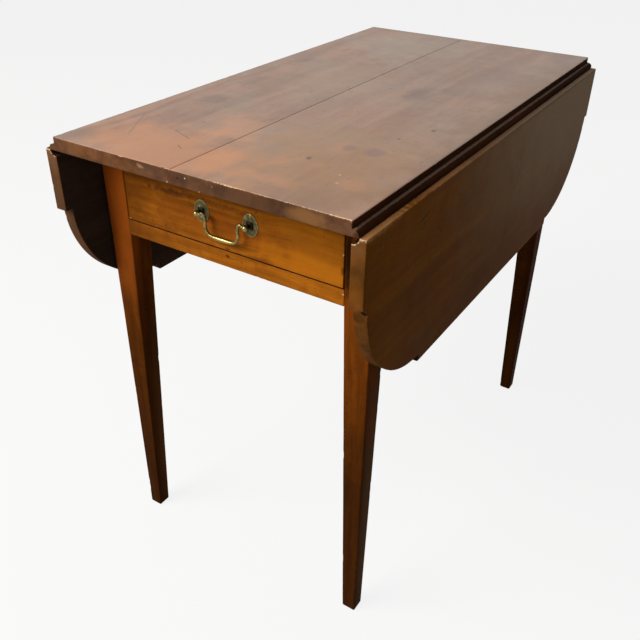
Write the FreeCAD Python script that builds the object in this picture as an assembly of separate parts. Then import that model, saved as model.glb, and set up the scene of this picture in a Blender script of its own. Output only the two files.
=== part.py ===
import FreeCAD, Part
import math
import os

# Pembroke table with hanging rule-joint leaves and one end drawer.
# Millimetres. X runs across the table from leaf to leaf, Y runs from the drawer end (-Y) to the
# back end, Z is up. The origin is on the floor under the middle of the top.

os.makedirs("parts", exist_ok=True)
V = FreeCAD.Vector

# Top
table_height = 724.0
top_length = 863.0
top_width = 457.0  # between the fillets of the two rule joints
board_thickness = 19.0
left_board_width = 204.0  # from the left fillet to the joint between the two boards
end_ease = 1.2  # rounding of the top's end arrises

# Rule joint and leaves
fillet_height = 9.5  # square step above the round
rule_gap = 0.5  # between the top's round and the leaf's cove
leaf_reach = 253.0  # hinge axis to the leaf's free edge
corner_radius = 154.0  # quarter round at a leaf corner
corner_step = 11.0  # square step at each end of that quarter round

# Table hinges
hinge_span = 560.0  # between the two hinges of a leaf
hinge_width = 38.0
flap_thickness = 2.0
short_flap = 32.0  # hinge axis to the end of the flap on the top
long_flap = 62.0  # hinge axis to the end of the flap on the leaf
barrel_radius = 2.5
hinge_pin_radius = 1.25
hinge_pin_clearance = 0.05
knuckle_gap = 0.3  # between neighbouring knuckles
flap_relief = 0.5  # room round the moving flap and the barrel

# Frame
leg_inset = 7.0  # fillet line to the outer face of the legs
end_overhang = 69.0  # end of the top to the face of the legs
leg_size = 40.0
foot_size = 22.5
taper_drop = 6.0  # the taper starts this far below the rails
leg_ease = 1.2  # worn arrises of the legs
apron_depth = 137.0  # underside of the top to the lower edge of the rails
apron_thickness = 20.0
apron_setback = 2.0  # back face of the apron inside the legs' back faces
front_rail_depth = 40.0  # of both front rails, along Y
drawer_rail_height = 24.0
top_rail_height = 18.0
tenon_inset = 8.0  # leg face to the near cheek of the end rails' tenons
tenon_thickness = 8.0
tenon_web = 3.0  # wood left between two mortises that meet in a leg
tenon_skin = 12.0  # wood left between a mortise's end and the leg's outer face
tenon_shoulder = 4.0  # of the end rails and at the lower edge of the side rails
mortise_play = 1.0  # room past a tenon's end
lap_length = 22.0  # top rail's dovetail in the leg
lap_depth = 12.0
lap_neck = 20.0
lap_flare = 3.0  # each cheek of the dovetail spreads by this much

# Fly rails and brackets
fly_thickness = 16.0
fly_setback = 6.0  # legs' outer face to the outer face of the fly rail
fly_depth = 110.0
bracket_reach = 150.0  # knuckle pin to the bracket's free end
bracket_gap = 0.6  # bracket to side rail, and bracket to the underside of the top
finger_count = 5
finger_gap = 0.5
knuckle_clearance = 0.5
bracket_pin_radius = 3.0
bracket_pin_clearance = 0.06
bracket_lip = 16.0  # square end above the bracket's ogee
ogee_run = 52.0  # how far the ogee cuts back under the lip
ogee_bulge = 9.0
finger_space = 16.0  # free end of the bracket to the fixed end piece

# Drawer support
runner_width = 22.0
runner_height = 20.0
kicker_width = 22.0
stop_size = 26.0  # along X
stop_depth = 14.0
stop_height = 5.0
stop_spread = 210.0  # between the two stops
block_size = 24.0  # legs of a glue block's triangle
block_length = 60.0
block_gap = 34.5  # drawer kicker to the near end of a glue block

# Drawer
drawer_gap = 1.0  # beside and above the drawer
running_gap = 0.3  # drawer on its runners, and front against its stops
drawer_front_thickness = 20.0
drawer_side_thickness = 11.0
drawer_back_thickness = 11.0
drawer_rear_space = 150.0  # back of the drawer to the back apron
side_drop = 2.0  # sides stand this much below the top of the drawer front
front_lap = 6.0  # wood left in front of the half-blind dovetails
tail_count = 3
pin_width = 9.0  # drawer-front pin between two tails, at the tails' wide end
tail_slope = 0.16
panel_thickness = 7.0
panel_rise = 8.0  # lower edge of the sides to the drawer bottom
groove_depth = 5.0

# Bail pull
post_spread = 80.0
pull_height = 49.0  # upper face of the drawer rail to the posts' axis
post_stand = 10.5  # drawer front to the bail's axis
ball_radius = 4.6
ball_rings = 8  # steps of the ball's outline
post_neck_radius = 2.6
post_shank_radius = 2.4
shank_clearance = 0.15
rosette_width = 24.5
rosette_height = 32.0
rosette_thickness = 1.4
rosette_bevel = 1.6
rosette_collar_radius = 5.5
rosette_collar_height = 1.2
nut_size = 11.0
nut_thickness = 3.5
bail_radius = 2.1
bail_pin_radius = 1.6
bail_pin_clearance = 0.08
bail_drop = 27.5
bail_grip_radius = 3.2
bail_grip_length = 34.0
grip_rings = 8  # steps of the swelled grip
bail_neck_rise = 4.4  # corner of the swan neck above the axis
bail_neck_inset = 11.0  # posts' axis in to the top of the neck
bail_waist_inset = 13.6  # posts' axis in to the narrowest place of the bail
bail_waist_drop = 7.0
bail_hip_inset = 11.0  # posts' axis in to the widest place of the bail
bail_hip_drop = 17.5
bail_foot_inset = 15.0  # posts' axis in to the corner of the bottom bar
bail_arm = 4.6  # straight arm beside each post

# Screws
screw_head_radius = 3.4
screw_head_height = 2.0
screw_shank_radius = 1.7
screw_tip = 4.0
screw_point_radius = 0.3
screw_clearance = 0.1
hinge_screw_length = 13.0
top_screw_length = 30.0
kicker_screw_span = 400.0
rail_screw_span = 190.0

# Flat sides that stand for small round forms
screw_sides = 8
hardware_sides = 12  # hinge barrels and pins, posts and bail
bend_step = math.radians(15)  # between the rings of a bent bar

# Levels and lines that the pieces share
half_width = top_width / 2
half_length = top_length / 2
underside = table_height - board_thickness
pivot_rise = flap_thickness / 2
pivot_z = underside + pivot_rise
round_radius = board_thickness - fillet_height - pivot_rise
cove_radius = round_radius + rule_gap
frame_half = half_width - leg_inset
frame_end = half_length - end_overhang
opening_half = frame_half - leg_size
rail_bottom = underside - apron_depth
runner_top = rail_bottom + drawer_rail_height
ceiling = underside - top_rail_height
apron_inner = frame_end - apron_setback - apron_thickness
side_rail_outer = frame_half - fly_setback - fly_thickness
leg_inner_end = frame_end - leg_size
fly_bottom = underside - fly_depth


def box(x0, x1, y0, y1, z0, z1):
    return Part.makeBox(x1 - x0, y1 - y0, z1 - z0, V(x0, y0, z0))


def rod(radius, start, direction, length):
    return Part.makeCylinder(radius, length, start, direction)


def prism(points, travel):
    """A closed polygon pushed along a vector, with its faces pointing outwards."""
    solid = Part.Face(Part.makePolygon(points + points[:1])).extrude(travel)
    return solid if solid.Volume > 0 else solid.reversed()


def arc(start, middle, end):
    return Part.Arc(start, middle, end).toShape()


def line(start, end):
    return Part.LineSegment(start, end).toShape()


def mirrored(shape):
    """The same piece on the other side of the table."""
    return shape.mirror(V(0, 0, 0), V(1, 0, 0))


def save(name, *solids):
    shape = solids[0] if len(solids) == 1 else Part.makeCompound(list(solids))
    shape.exportStep("parts/" + name + ".step")


def save_pair(name, *solids):
    """A right-hand piece and its mirror image."""
    save("right_" + name, *solids)
    save("left_" + name, *[mirrored(solid) for solid in solids])


def union(shapes):
    return shapes[0].multiFuse(shapes[1:]).removeSplitter() if len(shapes) > 1 else shapes[0]


def flat_sided(rings):
    """Solid with flat sides between rings of as many points each, bottom ring first."""
    def facet(points):
        return Part.Face(Part.makePolygon(points + points[:1]))

    faces = [facet(rings[0]), facet(rings[-1])]
    for low, high in zip(rings, rings[1:]):
        for i in range(len(low)):
            faces.append(facet([low[i - 1], low[i], high[i], high[i - 1]]))
    solid = Part.Solid(Part.Shell(faces))
    return (solid if solid.Volume > 0 else solid.reversed()).removeSplitter()


def ring(place, axis, up, radius, sides):
    """Corners of a regular polygon across an axis."""
    across = axis.cross(up)
    angles = [2 * math.pi * (i + 0.5) / sides for i in range(sides)]
    return [place + up * (radius * math.cos(a)) + across * (radius * math.sin(a)) for a in angles]


def turned(profile, start, axis, sides=hardware_sides):
    """Small turned piece with flat sides, from pairs of radius and distance along the axis."""
    up = V(1, 0, 0) if abs(axis.z) > 0.5 else V(0, 0, 1)
    return flat_sided([ring(start + axis * along, axis, up, radius, sides) for radius, along in profile])


def pin(radius, start, axis, length):
    return turned([(radius, 0.0), (radius, length)], start, axis)


# Screws and rows of screws

def screw(point, direction, length, clearance=0.0):
    """Countersunk wood screw with its head flush at a point, or the hole for it."""
    profile = [
        (screw_head_radius, 0.0),
        (screw_shank_radius, screw_head_height),
        (screw_shank_radius, length - screw_tip),
        (screw_point_radius, length + clearance),
    ]
    return turned([(radius + clearance, along) for radius, along in profile], point, direction, screw_sides)


def flap_screw_points(near, far):
    """Two screws near the barrel and one further out, on each hinge of the right-hand leaf."""
    row = hinge_width / 4
    return [
        V(x, y + offset, underside)
        for y in hinge_places
        for x, offset in ((near, -row), (near, row), (far, 0.0))
    ]


# Table hinges, drawn with the leaf raised

hinge_places = (-hinge_span / 2, hinge_span / 2)
barrel_room = barrel_radius + flap_relief
hinge_screw_edge = screw_head_radius + flap_relief
short_screws = flap_screw_points(half_width - barrel_room - hinge_screw_edge * 2,
                                 half_width - short_flap + hinge_screw_edge * 2)
long_screws = flap_screw_points(half_width + cove_radius + hinge_screw_edge * 3,
                                half_width + long_flap - hinge_screw_edge * 2)


def swing_down(shape):
    """Turn a right-hand leaf piece from the raised place to the hanging place."""
    turned = shape.copy()
    turned.rotate(V(half_width, 0, pivot_z), V(0, 1, 0), 90)
    return turned


def hinge_flap(y, side, reach, bands):
    """Flat flap with its share of the knuckles; side is -1 for the top's flap, 1 for the leaf's."""
    def across(near, far, y0, y1):
        x0, x1 = sorted((half_width + side * near, half_width + side * far))
        return box(x0, x1, y0, y1, underside, underside + flap_thickness)

    pieces = [across(barrel_room, reach, y - hinge_width / 2, y + hinge_width / 2)]
    for y0, y1 in bands:
        pieces.append(across(0.0, barrel_room, y + y0, y + y1))
        pieces.append(pin(barrel_radius, V(half_width, y + y0, pivot_z), V(0, 1, 0), y1 - y0))
    flap = union(pieces)
    bore = pin(hinge_pin_radius + hinge_pin_clearance,
               V(half_width, y - hinge_width, pivot_z), V(0, 1, 0), 2 * hinge_width)
    return flap.cut(bore)


third = hinge_width / 3
outer_bands = [(-hinge_width / 2, -hinge_width / 2 + third), (hinge_width / 2 - third, hinge_width / 2)]
middle_band = [(-third / 2 + knuckle_gap, third / 2 - knuckle_gap)]


def drilled(shape, points, length):
    """Cut the clearance holes of upward screws."""
    return shape.cut([screw(p, V(0, 0, 1), length, screw_clearance) for p in points])


def build_hinges():
    top_flaps = []
    leaf_flaps = []
    pins = []
    for y in hinge_places:
        near = [p for p in short_screws if abs(p.y - y) < hinge_width]
        far = [p for p in long_screws if abs(p.y - y) < hinge_width]
        top_flaps.append(drilled(hinge_flap(y, -1, short_flap, outer_bands), near, hinge_screw_length))
        leaf_flap = drilled(hinge_flap(y, 1, long_flap, middle_band), far, hinge_screw_length)
        leaf_flaps.append(swing_down(leaf_flap))
        pins.append(pin(hinge_pin_radius, V(half_width, y - hinge_width / 2, pivot_z),
                        V(0, 1, 0), hinge_width))
    save_pair("hinge_top_flaps", *top_flaps)
    save_pair("hinge_leaf_flaps", *leaf_flaps)
    save_pair("hinge_pins", *pins)
    up = V(0, 0, 1)
    save_pair("hinge_top_screws", *[screw(p, up, hinge_screw_length) for p in short_screws])
    save_pair("hinge_leaf_screws",
              *[swing_down(screw(p, up, hinge_screw_length)) for p in long_screws])


# Top of two boards

def top_section():
    """Section of the top: flat faces, a fillet and a quarter round on each long edge."""
    slant = round_radius * math.sqrt(0.5)
    shoulder = table_height - fillet_height
    edge = half_width + round_radius

    def p(x, z):
        return V(x, -half_length, z)

    return Part.Face(Part.Wire([
        line(p(-half_width, table_height), p(half_width, table_height)),
        line(p(half_width, table_height), p(half_width, shoulder)),
        arc(p(half_width, shoulder), p(half_width + slant, pivot_z + slant), p(edge, pivot_z)),
        line(p(edge, pivot_z), p(edge, underside)),
        line(p(edge, underside), p(-edge, underside)),
        line(p(-edge, underside), p(-edge, pivot_z)),
        arc(p(-edge, pivot_z), p(-half_width - slant, pivot_z + slant), p(-half_width, shoulder)),
        line(p(-half_width, shoulder), p(-half_width, table_height)),
    ]))


def hinge_pockets():
    """Flush seats of the short flaps, and room for the barrel and the moving flap."""
    cuts = []
    for y in hinge_places:
        side = hinge_width / 2
        wide = side + flap_relief
        cuts.append(box(half_width - short_flap, half_width, y - side, y + side,
                        underside, underside + flap_thickness))
        cuts.append(box(half_width - barrel_room, half_width + 2 * round_radius, y - wide, y + wide,
                        underside, underside + flap_thickness + flap_relief))
        cuts.append(pin(barrel_room, V(half_width, y - wide, pivot_z), V(0, 1, 0), 2 * wide))
    return cuts


def top_screw_points():
    kicker_x = opening_half - kicker_width / 2
    rail_y = -frame_end + front_rail_depth / 2
    along = (-kicker_screw_span / 2, 0.0, kicker_screw_span / 2)
    points = [V(side * kicker_x, y, ceiling) for side in (-1, 1) for y in along]
    points += [V(side * rail_screw_span / 2, rail_y, ceiling) for side in (-1, 1)]
    return points


def build_top():
    top = top_section().extrude(V(0, top_length, 0))
    end_arrises = [
        edge for edge in top.Edges
        if abs(edge.BoundBox.ZMin - table_height) < 0.01 and edge.BoundBox.YLength < 0.01
    ]
    top = top.makeFillet(end_ease, end_arrises)
    pockets = hinge_pockets()
    top = top.cut(pockets + [mirrored(cut) for cut in pockets])
    holes = [screw(p, V(0, 0, 1), hinge_screw_length, screw_clearance) for p in short_screws]
    top = top.cut(holes + [mirrored(hole) for hole in holes])
    top = drilled(top, top_screw_points(), top_screw_length)
    joint = -half_width + left_board_width
    reach = half_width + 2 * round_radius
    save("top_board_left", top.common(box(-reach, joint, -top_length, top_length, 0, 2 * table_height)))
    save("top_board_right", top.common(box(joint, reach, -top_length, top_length, 0, 2 * table_height)))


# Leaves

def leaf_outline():
    """Plan of the raised right-hand leaf with a stepped quarter round at both outer corners."""
    inner = half_width + rule_gap
    outer = half_width + leaf_reach
    corner = corner_step + corner_radius
    slant = corner_radius * math.sqrt(0.5)
    start = outer - corner
    end = half_length - corner
    step_y = half_length - corner_step
    step_x = outer - corner_step

    def p(x, y):
        return V(x, y, underside)

    return Part.Face(Part.Wire([
        line(p(inner, -half_length), p(start, -half_length)),
        line(p(start, -half_length), p(start, -step_y)),
        arc(p(start, -step_y), p(start + slant, -end - slant), p(step_x, -end)),
        line(p(step_x, -end), p(outer, -end)),
        line(p(outer, -end), p(outer, end)),
        line(p(outer, end), p(step_x, end)),
        arc(p(step_x, end), p(start + slant, end + slant), p(start, step_y)),
        line(p(start, step_y), p(start, half_length)),
        line(p(start, half_length), p(inner, half_length)),
        line(p(inner, half_length), p(inner, -half_length)),
    ]))


def build_leaves():
    board = leaf_outline().extrude(V(0, 0, board_thickness))
    cove = rod(cove_radius, V(half_width, -top_length, pivot_z), V(0, 1, 0), 2 * top_length)
    below_cove = box(half_width - cove_radius, half_width + cove_radius, -top_length, top_length,
                     underside - board_thickness, pivot_z)
    leaf = board.cut([cove, below_cove])
    for y in hinge_places:
        leaf = leaf.cut(box(half_width, half_width + long_flap, y - hinge_width / 2, y + hinge_width / 2,
                            underside, underside + flap_thickness))
    leaf = drilled(leaf, long_screws, hinge_screw_length)
    save_pair("leaf", swing_down(leaf))


# Legs and rails

def leg_ring(side_x, side_y, z, size):
    """Square with eased corners; its outer two sides stay in line with the leg's outer faces."""
    x0, x1 = sorted((side_x * frame_half, side_x * (frame_half - size)))
    y0, y1 = sorted((side_y * frame_end, side_y * (frame_end - size)))
    e = leg_ease
    return [
        V(x0 + e, y0, z), V(x1 - e, y0, z), V(x1, y0 + e, z), V(x1, y1 - e, z),
        V(x1 - e, y1, z), V(x0 + e, y1, z), V(x0, y1 - e, z), V(x0, y0 + e, z),
    ]


def end_tenon(side_x, side_y, z0, z1, play):
    """Tenon of a front rail or of the back apron, pointing outwards along X."""
    reach = leg_size - tenon_skin + play
    x0, x1 = sorted((side_x * opening_half, side_x * (opening_half + reach)))
    y0, y1 = sorted((side_y * (frame_end - tenon_inset),
                     side_y * (frame_end - tenon_inset - tenon_thickness)))
    return box(x0, x1, y0, y1, z0, z1)


def side_tenon(side_y, play):
    """Tenon of the right-hand side rail, pointing outwards along Y."""
    reach = leg_size - tenon_inset - tenon_thickness - tenon_web + play
    middle = (opening_half + side_rail_outer) / 2
    y0, y1 = sorted((side_y * leg_inner_end, side_y * (leg_inner_end + reach)))
    return box(middle - tenon_thickness / 2, middle + tenon_thickness / 2, y0, y1,
               rail_bottom + tenon_shoulder, ceiling - tenon_web)


def lap_dovetail(side_x):
    """Dovetail of the front top rail, dropped into the top of a front leg."""
    middle = -frame_end + front_rail_depth / 2
    root = side_x * opening_half
    tip = side_x * (opening_half + lap_length)
    neck = lap_neck / 2
    wide = neck + lap_flare
    z = underside - lap_depth
    return prism([V(root, middle - neck, z), V(tip, middle - wide, z),
                  V(tip, middle + wide, z), V(root, middle + neck, z)], V(0, 0, lap_depth))


def rail_tenon_levels():
    return rail_bottom + tenon_shoulder, runner_top - tenon_shoulder


def apron_tenon_levels():
    return rail_bottom + tenon_shoulder, ceiling - tenon_web


def build_leg(name, side_x, side_y):
    leg = flat_sided([
        leg_ring(side_x, side_y, 0.0, foot_size),
        leg_ring(side_x, side_y, rail_bottom - taper_drop, leg_size),
        leg_ring(side_x, side_y, underside, leg_size),
    ])
    side_mortise = side_tenon(side_y, mortise_play)
    cuts = [side_mortise if side_x > 0 else mirrored(side_mortise)]
    if side_y < 0:
        cuts.append(end_tenon(side_x, side_y, *rail_tenon_levels(), mortise_play))
        cuts.append(lap_dovetail(side_x))
    else:
        cuts.append(end_tenon(side_x, side_y, *apron_tenon_levels(), mortise_play))
    save(name, leg.cut(cuts))


def build_legs():
    for end_name, side_y in (("front", -1), ("back", 1)):
        for side_name, side_x in (("left", -1), ("right", 1)):
            build_leg(end_name + "_" + side_name + "_leg", side_x, side_y)


def build_rails():
    drawer_rail = box(-opening_half, opening_half, -frame_end, -frame_end + front_rail_depth,
                      rail_bottom, runner_top)
    tenons = [end_tenon(side, -1, *rail_tenon_levels(), 0.0) for side in (-1, 1)]
    save("drawer_rail", union([drawer_rail] + tenons))

    top_rail = box(-opening_half, opening_half, -frame_end, -frame_end + front_rail_depth,
                   ceiling, underside)
    top_rail = union([top_rail] + [lap_dovetail(side) for side in (-1, 1)])
    save("front_top_rail", drilled(top_rail, top_screw_points(), top_screw_length))

    apron = box(-opening_half, opening_half, apron_inner, frame_end - apron_setback, rail_bottom, underside)
    tenons = [end_tenon(side, 1, *apron_tenon_levels(), 0.0) for side in (-1, 1)]
    save("back_apron", union([apron] + tenons))

    rail = box(opening_half, side_rail_outer, -leg_inner_end, leg_inner_end, rail_bottom, underside)
    save_pair("side_rail", union([rail, side_tenon(-1, 0.0), side_tenon(1, 0.0)]))


# Fly rail with its bracket on a wooden knuckle joint

knuckle_y = -bracket_reach / 2
knuckle_x = side_rail_outer + (fly_thickness + bracket_gap) / 2
knuckle_radius = (fly_thickness - bracket_gap) / 2
bracket_top = underside - bracket_gap
finger_height = (bracket_top - fly_bottom) / finger_count


def finger_bands(first):
    """Level ranges of every second finger."""
    return [
        (fly_bottom + i * finger_height, fly_bottom + (i + 1) * finger_height)
        for i in range(first, finger_count, 2)
    ]


def knuckle_rod(radius, z0, z1):
    return rod(radius, V(knuckle_x, knuckle_y, z0), V(0, 0, 1), z1 - z0)


def knuckle_sockets(bands):
    """Round sockets that clear the other piece's fingers."""
    return [
        knuckle_rod(knuckle_radius + knuckle_clearance, z0 - finger_gap / 2, z1 + finger_gap / 2)
        for z0, z1 in bands
    ]


def bracket_profile(x):
    """Side view of the bracket: straight top, square lip, ogee under its free end."""
    free_end = knuckle_y + bracket_reach
    top = V(x, free_end, bracket_top)
    lip = V(x, free_end, bracket_top - bracket_lip)
    foot = V(x, free_end - ogee_run, fly_bottom)
    middle = (lip + foot) * 0.5
    chord = foot - lip
    across = V(0, -chord.z, chord.y) * (ogee_bulge / chord.Length)
    return Part.Face(Part.Wire([
        line(V(x, knuckle_y, bracket_top), top),
        line(top, lip),
        arc(lip, (lip + middle) * 0.5 - across, middle),
        arc(middle, (middle + foot) * 0.5 + across, foot),
        line(foot, V(x, knuckle_y, fly_bottom)),
        line(V(x, knuckle_y, fly_bottom), V(x, knuckle_y, bracket_top)),
    ]))


def build_fly_rails():
    outer = side_rail_outer + fly_thickness
    bore = knuckle_rod(bracket_pin_radius + bracket_pin_clearance, fly_bottom, underside)

    block = box(side_rail_outer, outer, -leg_inner_end, knuckle_y, fly_bottom, underside)
    block = union([block, knuckle_rod(knuckle_radius, fly_bottom, bracket_top)])
    save_pair("fly_block", block.cut(knuckle_sockets(finger_bands(1)) + [bore]))

    inner = side_rail_outer + bracket_gap
    bracket = bracket_profile(inner).extrude(V(outer - inner, 0, 0))
    bracket = union([bracket, knuckle_rod(knuckle_radius, fly_bottom, bracket_top)])
    save_pair("fly_bracket", bracket.cut(knuckle_sockets(finger_bands(0)) + [bore]))

    save_pair("bracket_pin", knuckle_rod(bracket_pin_radius, fly_bottom, bracket_top))

    free_end = knuckle_y + bracket_reach
    save_pair("fly_end", box(side_rail_outer, outer, free_end + finger_space, leg_inner_end,
                             fly_bottom, underside))


# Runners, kickers, stops and glue blocks

def build_drawer_support():
    rail_back = -frame_end + front_rail_depth
    save_pair("drawer_runner", box(opening_half - runner_width, opening_half, rail_back, apron_inner,
                                   runner_top - runner_height, runner_top))
    kicker = box(opening_half - kicker_width, opening_half, rail_back, apron_inner, ceiling, underside)
    on_right = [p for p in top_screw_points() if p.x > 0]
    save_pair("drawer_kicker", drilled(kicker, on_right, top_screw_length))

    stop_front = -frame_end + drawer_front_thickness + running_gap
    save("drawer_stops", *[
        box(side * stop_spread / 2 - stop_size / 2, side * stop_spread / 2 + stop_size / 2,
            stop_front, stop_front + stop_depth, runner_top, runner_top + stop_height)
        for side in (-1, 1)
    ])

    block_x = opening_half - kicker_width - block_gap - block_length / 2
    save("glue_blocks", *[
        prism([V(x - block_length / 2, apron_inner, underside),
               V(x - block_length / 2, apron_inner - block_size, underside),
               V(x - block_length / 2, apron_inner, underside - block_size)], V(block_length, 0, 0))
        for x in (-block_x, block_x)
    ])

    save("top_screws", *[screw(p, V(0, 0, 1), top_screw_length) for p in top_screw_points()])


# Drawer

drawer_half = opening_half - drawer_gap
inside_half = drawer_half - drawer_side_thickness
drawer_front_face = -frame_end
front_back_face = drawer_front_face + drawer_front_thickness
drawer_end = apron_inner - drawer_rear_space
drawer_bottom_z = runner_top + running_gap
front_top_z = ceiling - drawer_gap
side_top_z = front_top_z - side_drop
panel_z = drawer_bottom_z + panel_rise
panel_top_z = panel_z + panel_thickness
pull_z = runner_top + pull_height
pull_y = drawer_front_face - post_stand
post_places = (-post_spread / 2, post_spread / 2)


def tails(y_root, y_tip, z0, z1):
    """Dovetails on the right-hand drawer side: wide at the tip, narrow at the root."""
    pitch = (z1 - z0) / tail_count
    tip_half = (pitch - pin_width) / 2
    root_half = tip_half - abs(y_tip - y_root) * tail_slope
    shapes = []
    for i in range(tail_count):
        middle = z0 + (i + 0.5) * pitch
        shapes.append(prism([
            V(inside_half, y_root, middle - root_half),
            V(inside_half, y_tip, middle - tip_half),
            V(inside_half, y_tip, middle + tip_half),
            V(inside_half, y_root, middle + root_half),
        ], V(drawer_side_thickness, 0, 0)))
    return shapes


def front_tails():
    return tails(front_back_face, drawer_front_face + front_lap, drawer_bottom_z, side_top_z)


def back_tails():
    return tails(drawer_end - drawer_back_thickness, drawer_end, panel_top_z, side_top_z)


def post_bores(y0, y1):
    return [
        pin(post_shank_radius + shank_clearance, V(x, y0, pull_z), V(0, 1, 0), y1 - y0)
        for x in post_places
    ]


def build_drawer():
    front = box(-drawer_half, drawer_half, drawer_front_face, front_back_face, drawer_bottom_z, front_top_z)
    sockets = front_tails()
    groove = box(-inside_half, inside_half, front_back_face - groove_depth, front_back_face,
                 panel_z, panel_top_z)
    front = front.cut(sockets + [mirrored(socket) for socket in sockets] + [groove])
    save("drawer_front", front.cut(post_bores(drawer_front_face, front_back_face)))

    back_root = drawer_end - drawer_back_thickness
    side = union([
        box(inside_half, drawer_half, front_back_face, back_root, drawer_bottom_z, side_top_z),
        box(inside_half, drawer_half, back_root, drawer_end, drawer_bottom_z, panel_top_z),
    ] + front_tails() + back_tails())
    side_groove = box(inside_half, inside_half + groove_depth, front_back_face, drawer_end,
                      panel_z, panel_top_z)
    save_pair("drawer_side", side.cut(side_groove))

    back = box(-drawer_half, drawer_half, back_root, drawer_end, panel_top_z, side_top_z)
    sockets = back_tails()
    save("drawer_back", back.cut(sockets + [mirrored(socket) for socket in sockets]))

    panel_half = inside_half + groove_depth
    save("drawer_bottom", union([
        box(-panel_half, panel_half, front_back_face, drawer_end, panel_z, panel_top_z),
        box(-inside_half, inside_half, front_back_face - groove_depth, front_back_face,
            panel_z, panel_top_z),
    ]))


# Bail pull

def ellipse(width, height, x, y):
    """Upright oval in a plane parallel to the drawer front."""
    curve = Part.Ellipse(V(x, y, pull_z + height / 2), V(x + width / 2, y, pull_z), V(x, y, pull_z))
    return Part.Wire([curve.toShape()])


def rosette(x):
    """Oval plate with a bevelled rim and a raised collar round the post."""
    front = drawer_front_face - rosette_thickness
    face = drawer_front_face
    plate = Part.makeLoft([
        ellipse(rosette_width, rosette_height, x, face),
        ellipse(rosette_width, rosette_height, x, face - rosette_thickness / 2),
        ellipse(rosette_width - 2 * rosette_bevel, rosette_height - 2 * rosette_bevel, x, front),
    ], True, True)
    collar = Part.makeCone(rosette_collar_radius, post_neck_radius + rosette_collar_height,
                           rosette_collar_height, V(x, front, pull_z), V(0, -1, 0))
    bore = pin(post_shank_radius + shank_clearance, V(x, face, pull_z), V(0, -1, 0), post_stand)
    return union([plate, collar]).cut(bore)


def post(x):
    """Turned post: shank through the drawer front, neck, and a ball that holds the bail's end."""
    shank_end = front_back_face + nut_thickness
    collar = shank_end - drawer_front_face + rosette_thickness + rosette_collar_height
    ball_middle = shank_end - pull_y
    neck_angle = math.acos(post_neck_radius / ball_radius)
    crown_angle = math.radians(80)
    angles = [-neck_angle + (neck_angle + crown_angle) * i / ball_rings for i in range(ball_rings + 1)]
    ball = [(ball_radius * math.cos(a), ball_middle + ball_radius * math.sin(a)) for a in angles]
    shank = [(post_shank_radius, 0.0), (post_shank_radius, collar), (post_neck_radius, collar)]
    solid = turned(shank + ball, V(x, shank_end, pull_z), V(0, -1, 0))
    side = 1 if x > 0 else -1
    hole = pin(bail_pin_radius + bail_pin_clearance, V(x, pull_y, pull_z), V(-side, 0, 0), ball_radius)
    return solid.cut(hole)


def nut(x):
    half = nut_size / 2
    plate = box(x - half, x + half, front_back_face, front_back_face + nut_thickness,
                pull_z - half, pull_z + half)
    return plate.cut(pin(post_shank_radius + shank_clearance, V(x, front_back_face, pull_z),
                         V(0, 1, 0), nut_thickness))


def rounded_route(points, radii):
    """Places and headings along straight runs joined by tangent arcs of the given radii."""
    route = [(points[0], (points[1] - points[0]).normalize())]
    for before, corner, after, radius in zip(points, points[1:], points[2:], radii):
        come = (corner - before).normalize()
        leave = (after - corner).normalize()
        turn = come.getAngle(leave)
        inward = come.cross(leave).normalize().cross(come)
        centre = corner - come * (radius * math.tan(turn / 2)) + inward * radius
        steps = max(1, round(turn / bend_step))
        for i in range(steps + 1):
            a = turn * i / steps
            place = centre + come * (radius * math.sin(a)) - inward * (radius * math.cos(a))
            route.append((place, come * math.cos(a) + inward * math.sin(a)))
    return route


def bail():
    """Swan-neck bail: pins in the posts, necks that rise and fall, a swelled bottom bar."""
    half = post_spread / 2

    def p(inset, rise):
        return V(half - inset, pull_y, pull_z + rise)

    right = [
        p(ball_radius, 0.0),
        p(ball_radius + bail_arm / 2, 0.0),
        p(bail_neck_inset, bail_neck_rise),
        p(bail_waist_inset, -bail_waist_drop),
        p(bail_hip_inset, -bail_hip_drop),
        p(bail_foot_inset, -bail_drop),
        p(half, -bail_drop),
    ]
    radii = [2 * bail_radius, 1.6 * bail_radius, 5 * bail_radius, 3 * bail_radius, 2.6 * bail_radius]
    inwards = V(-1, 0, 0)
    pin_root = right[0]
    pin_end = pin_root - inwards * (ball_radius / 2)
    arm = [(pin_end, inwards, bail_pin_radius), (pin_root, inwards, bail_pin_radius)]
    arm += [(place, heading, bail_radius) for place, heading in rounded_route(right, radii)]
    swell = bail_grip_radius - bail_radius
    grip = [
        (V(bail_grip_length * (0.5 - i / grip_rings), pull_y, pull_z - bail_drop), inwards,
         bail_radius + swell * math.sin(math.pi * i / grip_rings))
        for i in range(grip_rings + 1)
    ]
    other_arm = [(V(-q.x, q.y, q.z), V(d.x, d.y, -d.z), radius) for q, d, radius in reversed(arm)]
    outwards = V(0, -1, 0)
    return flat_sided([
        ring(place, heading, outwards, radius, hardware_sides)
        for place, heading, radius in arm + grip + other_arm
    ])


def build_pull():
    save("pull_rosettes", *[rosette(x) for x in post_places])
    save("pull_posts", *[post(x) for x in post_places])
    save("pull_nuts", *[nut(x) for x in post_places])
    save("bail_handle", bail())


build_top()
build_leaves()
build_hinges()
build_legs()
build_rails()
build_fly_rails()
build_drawer_support()
build_drawer()
build_pull()
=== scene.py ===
import math

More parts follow.
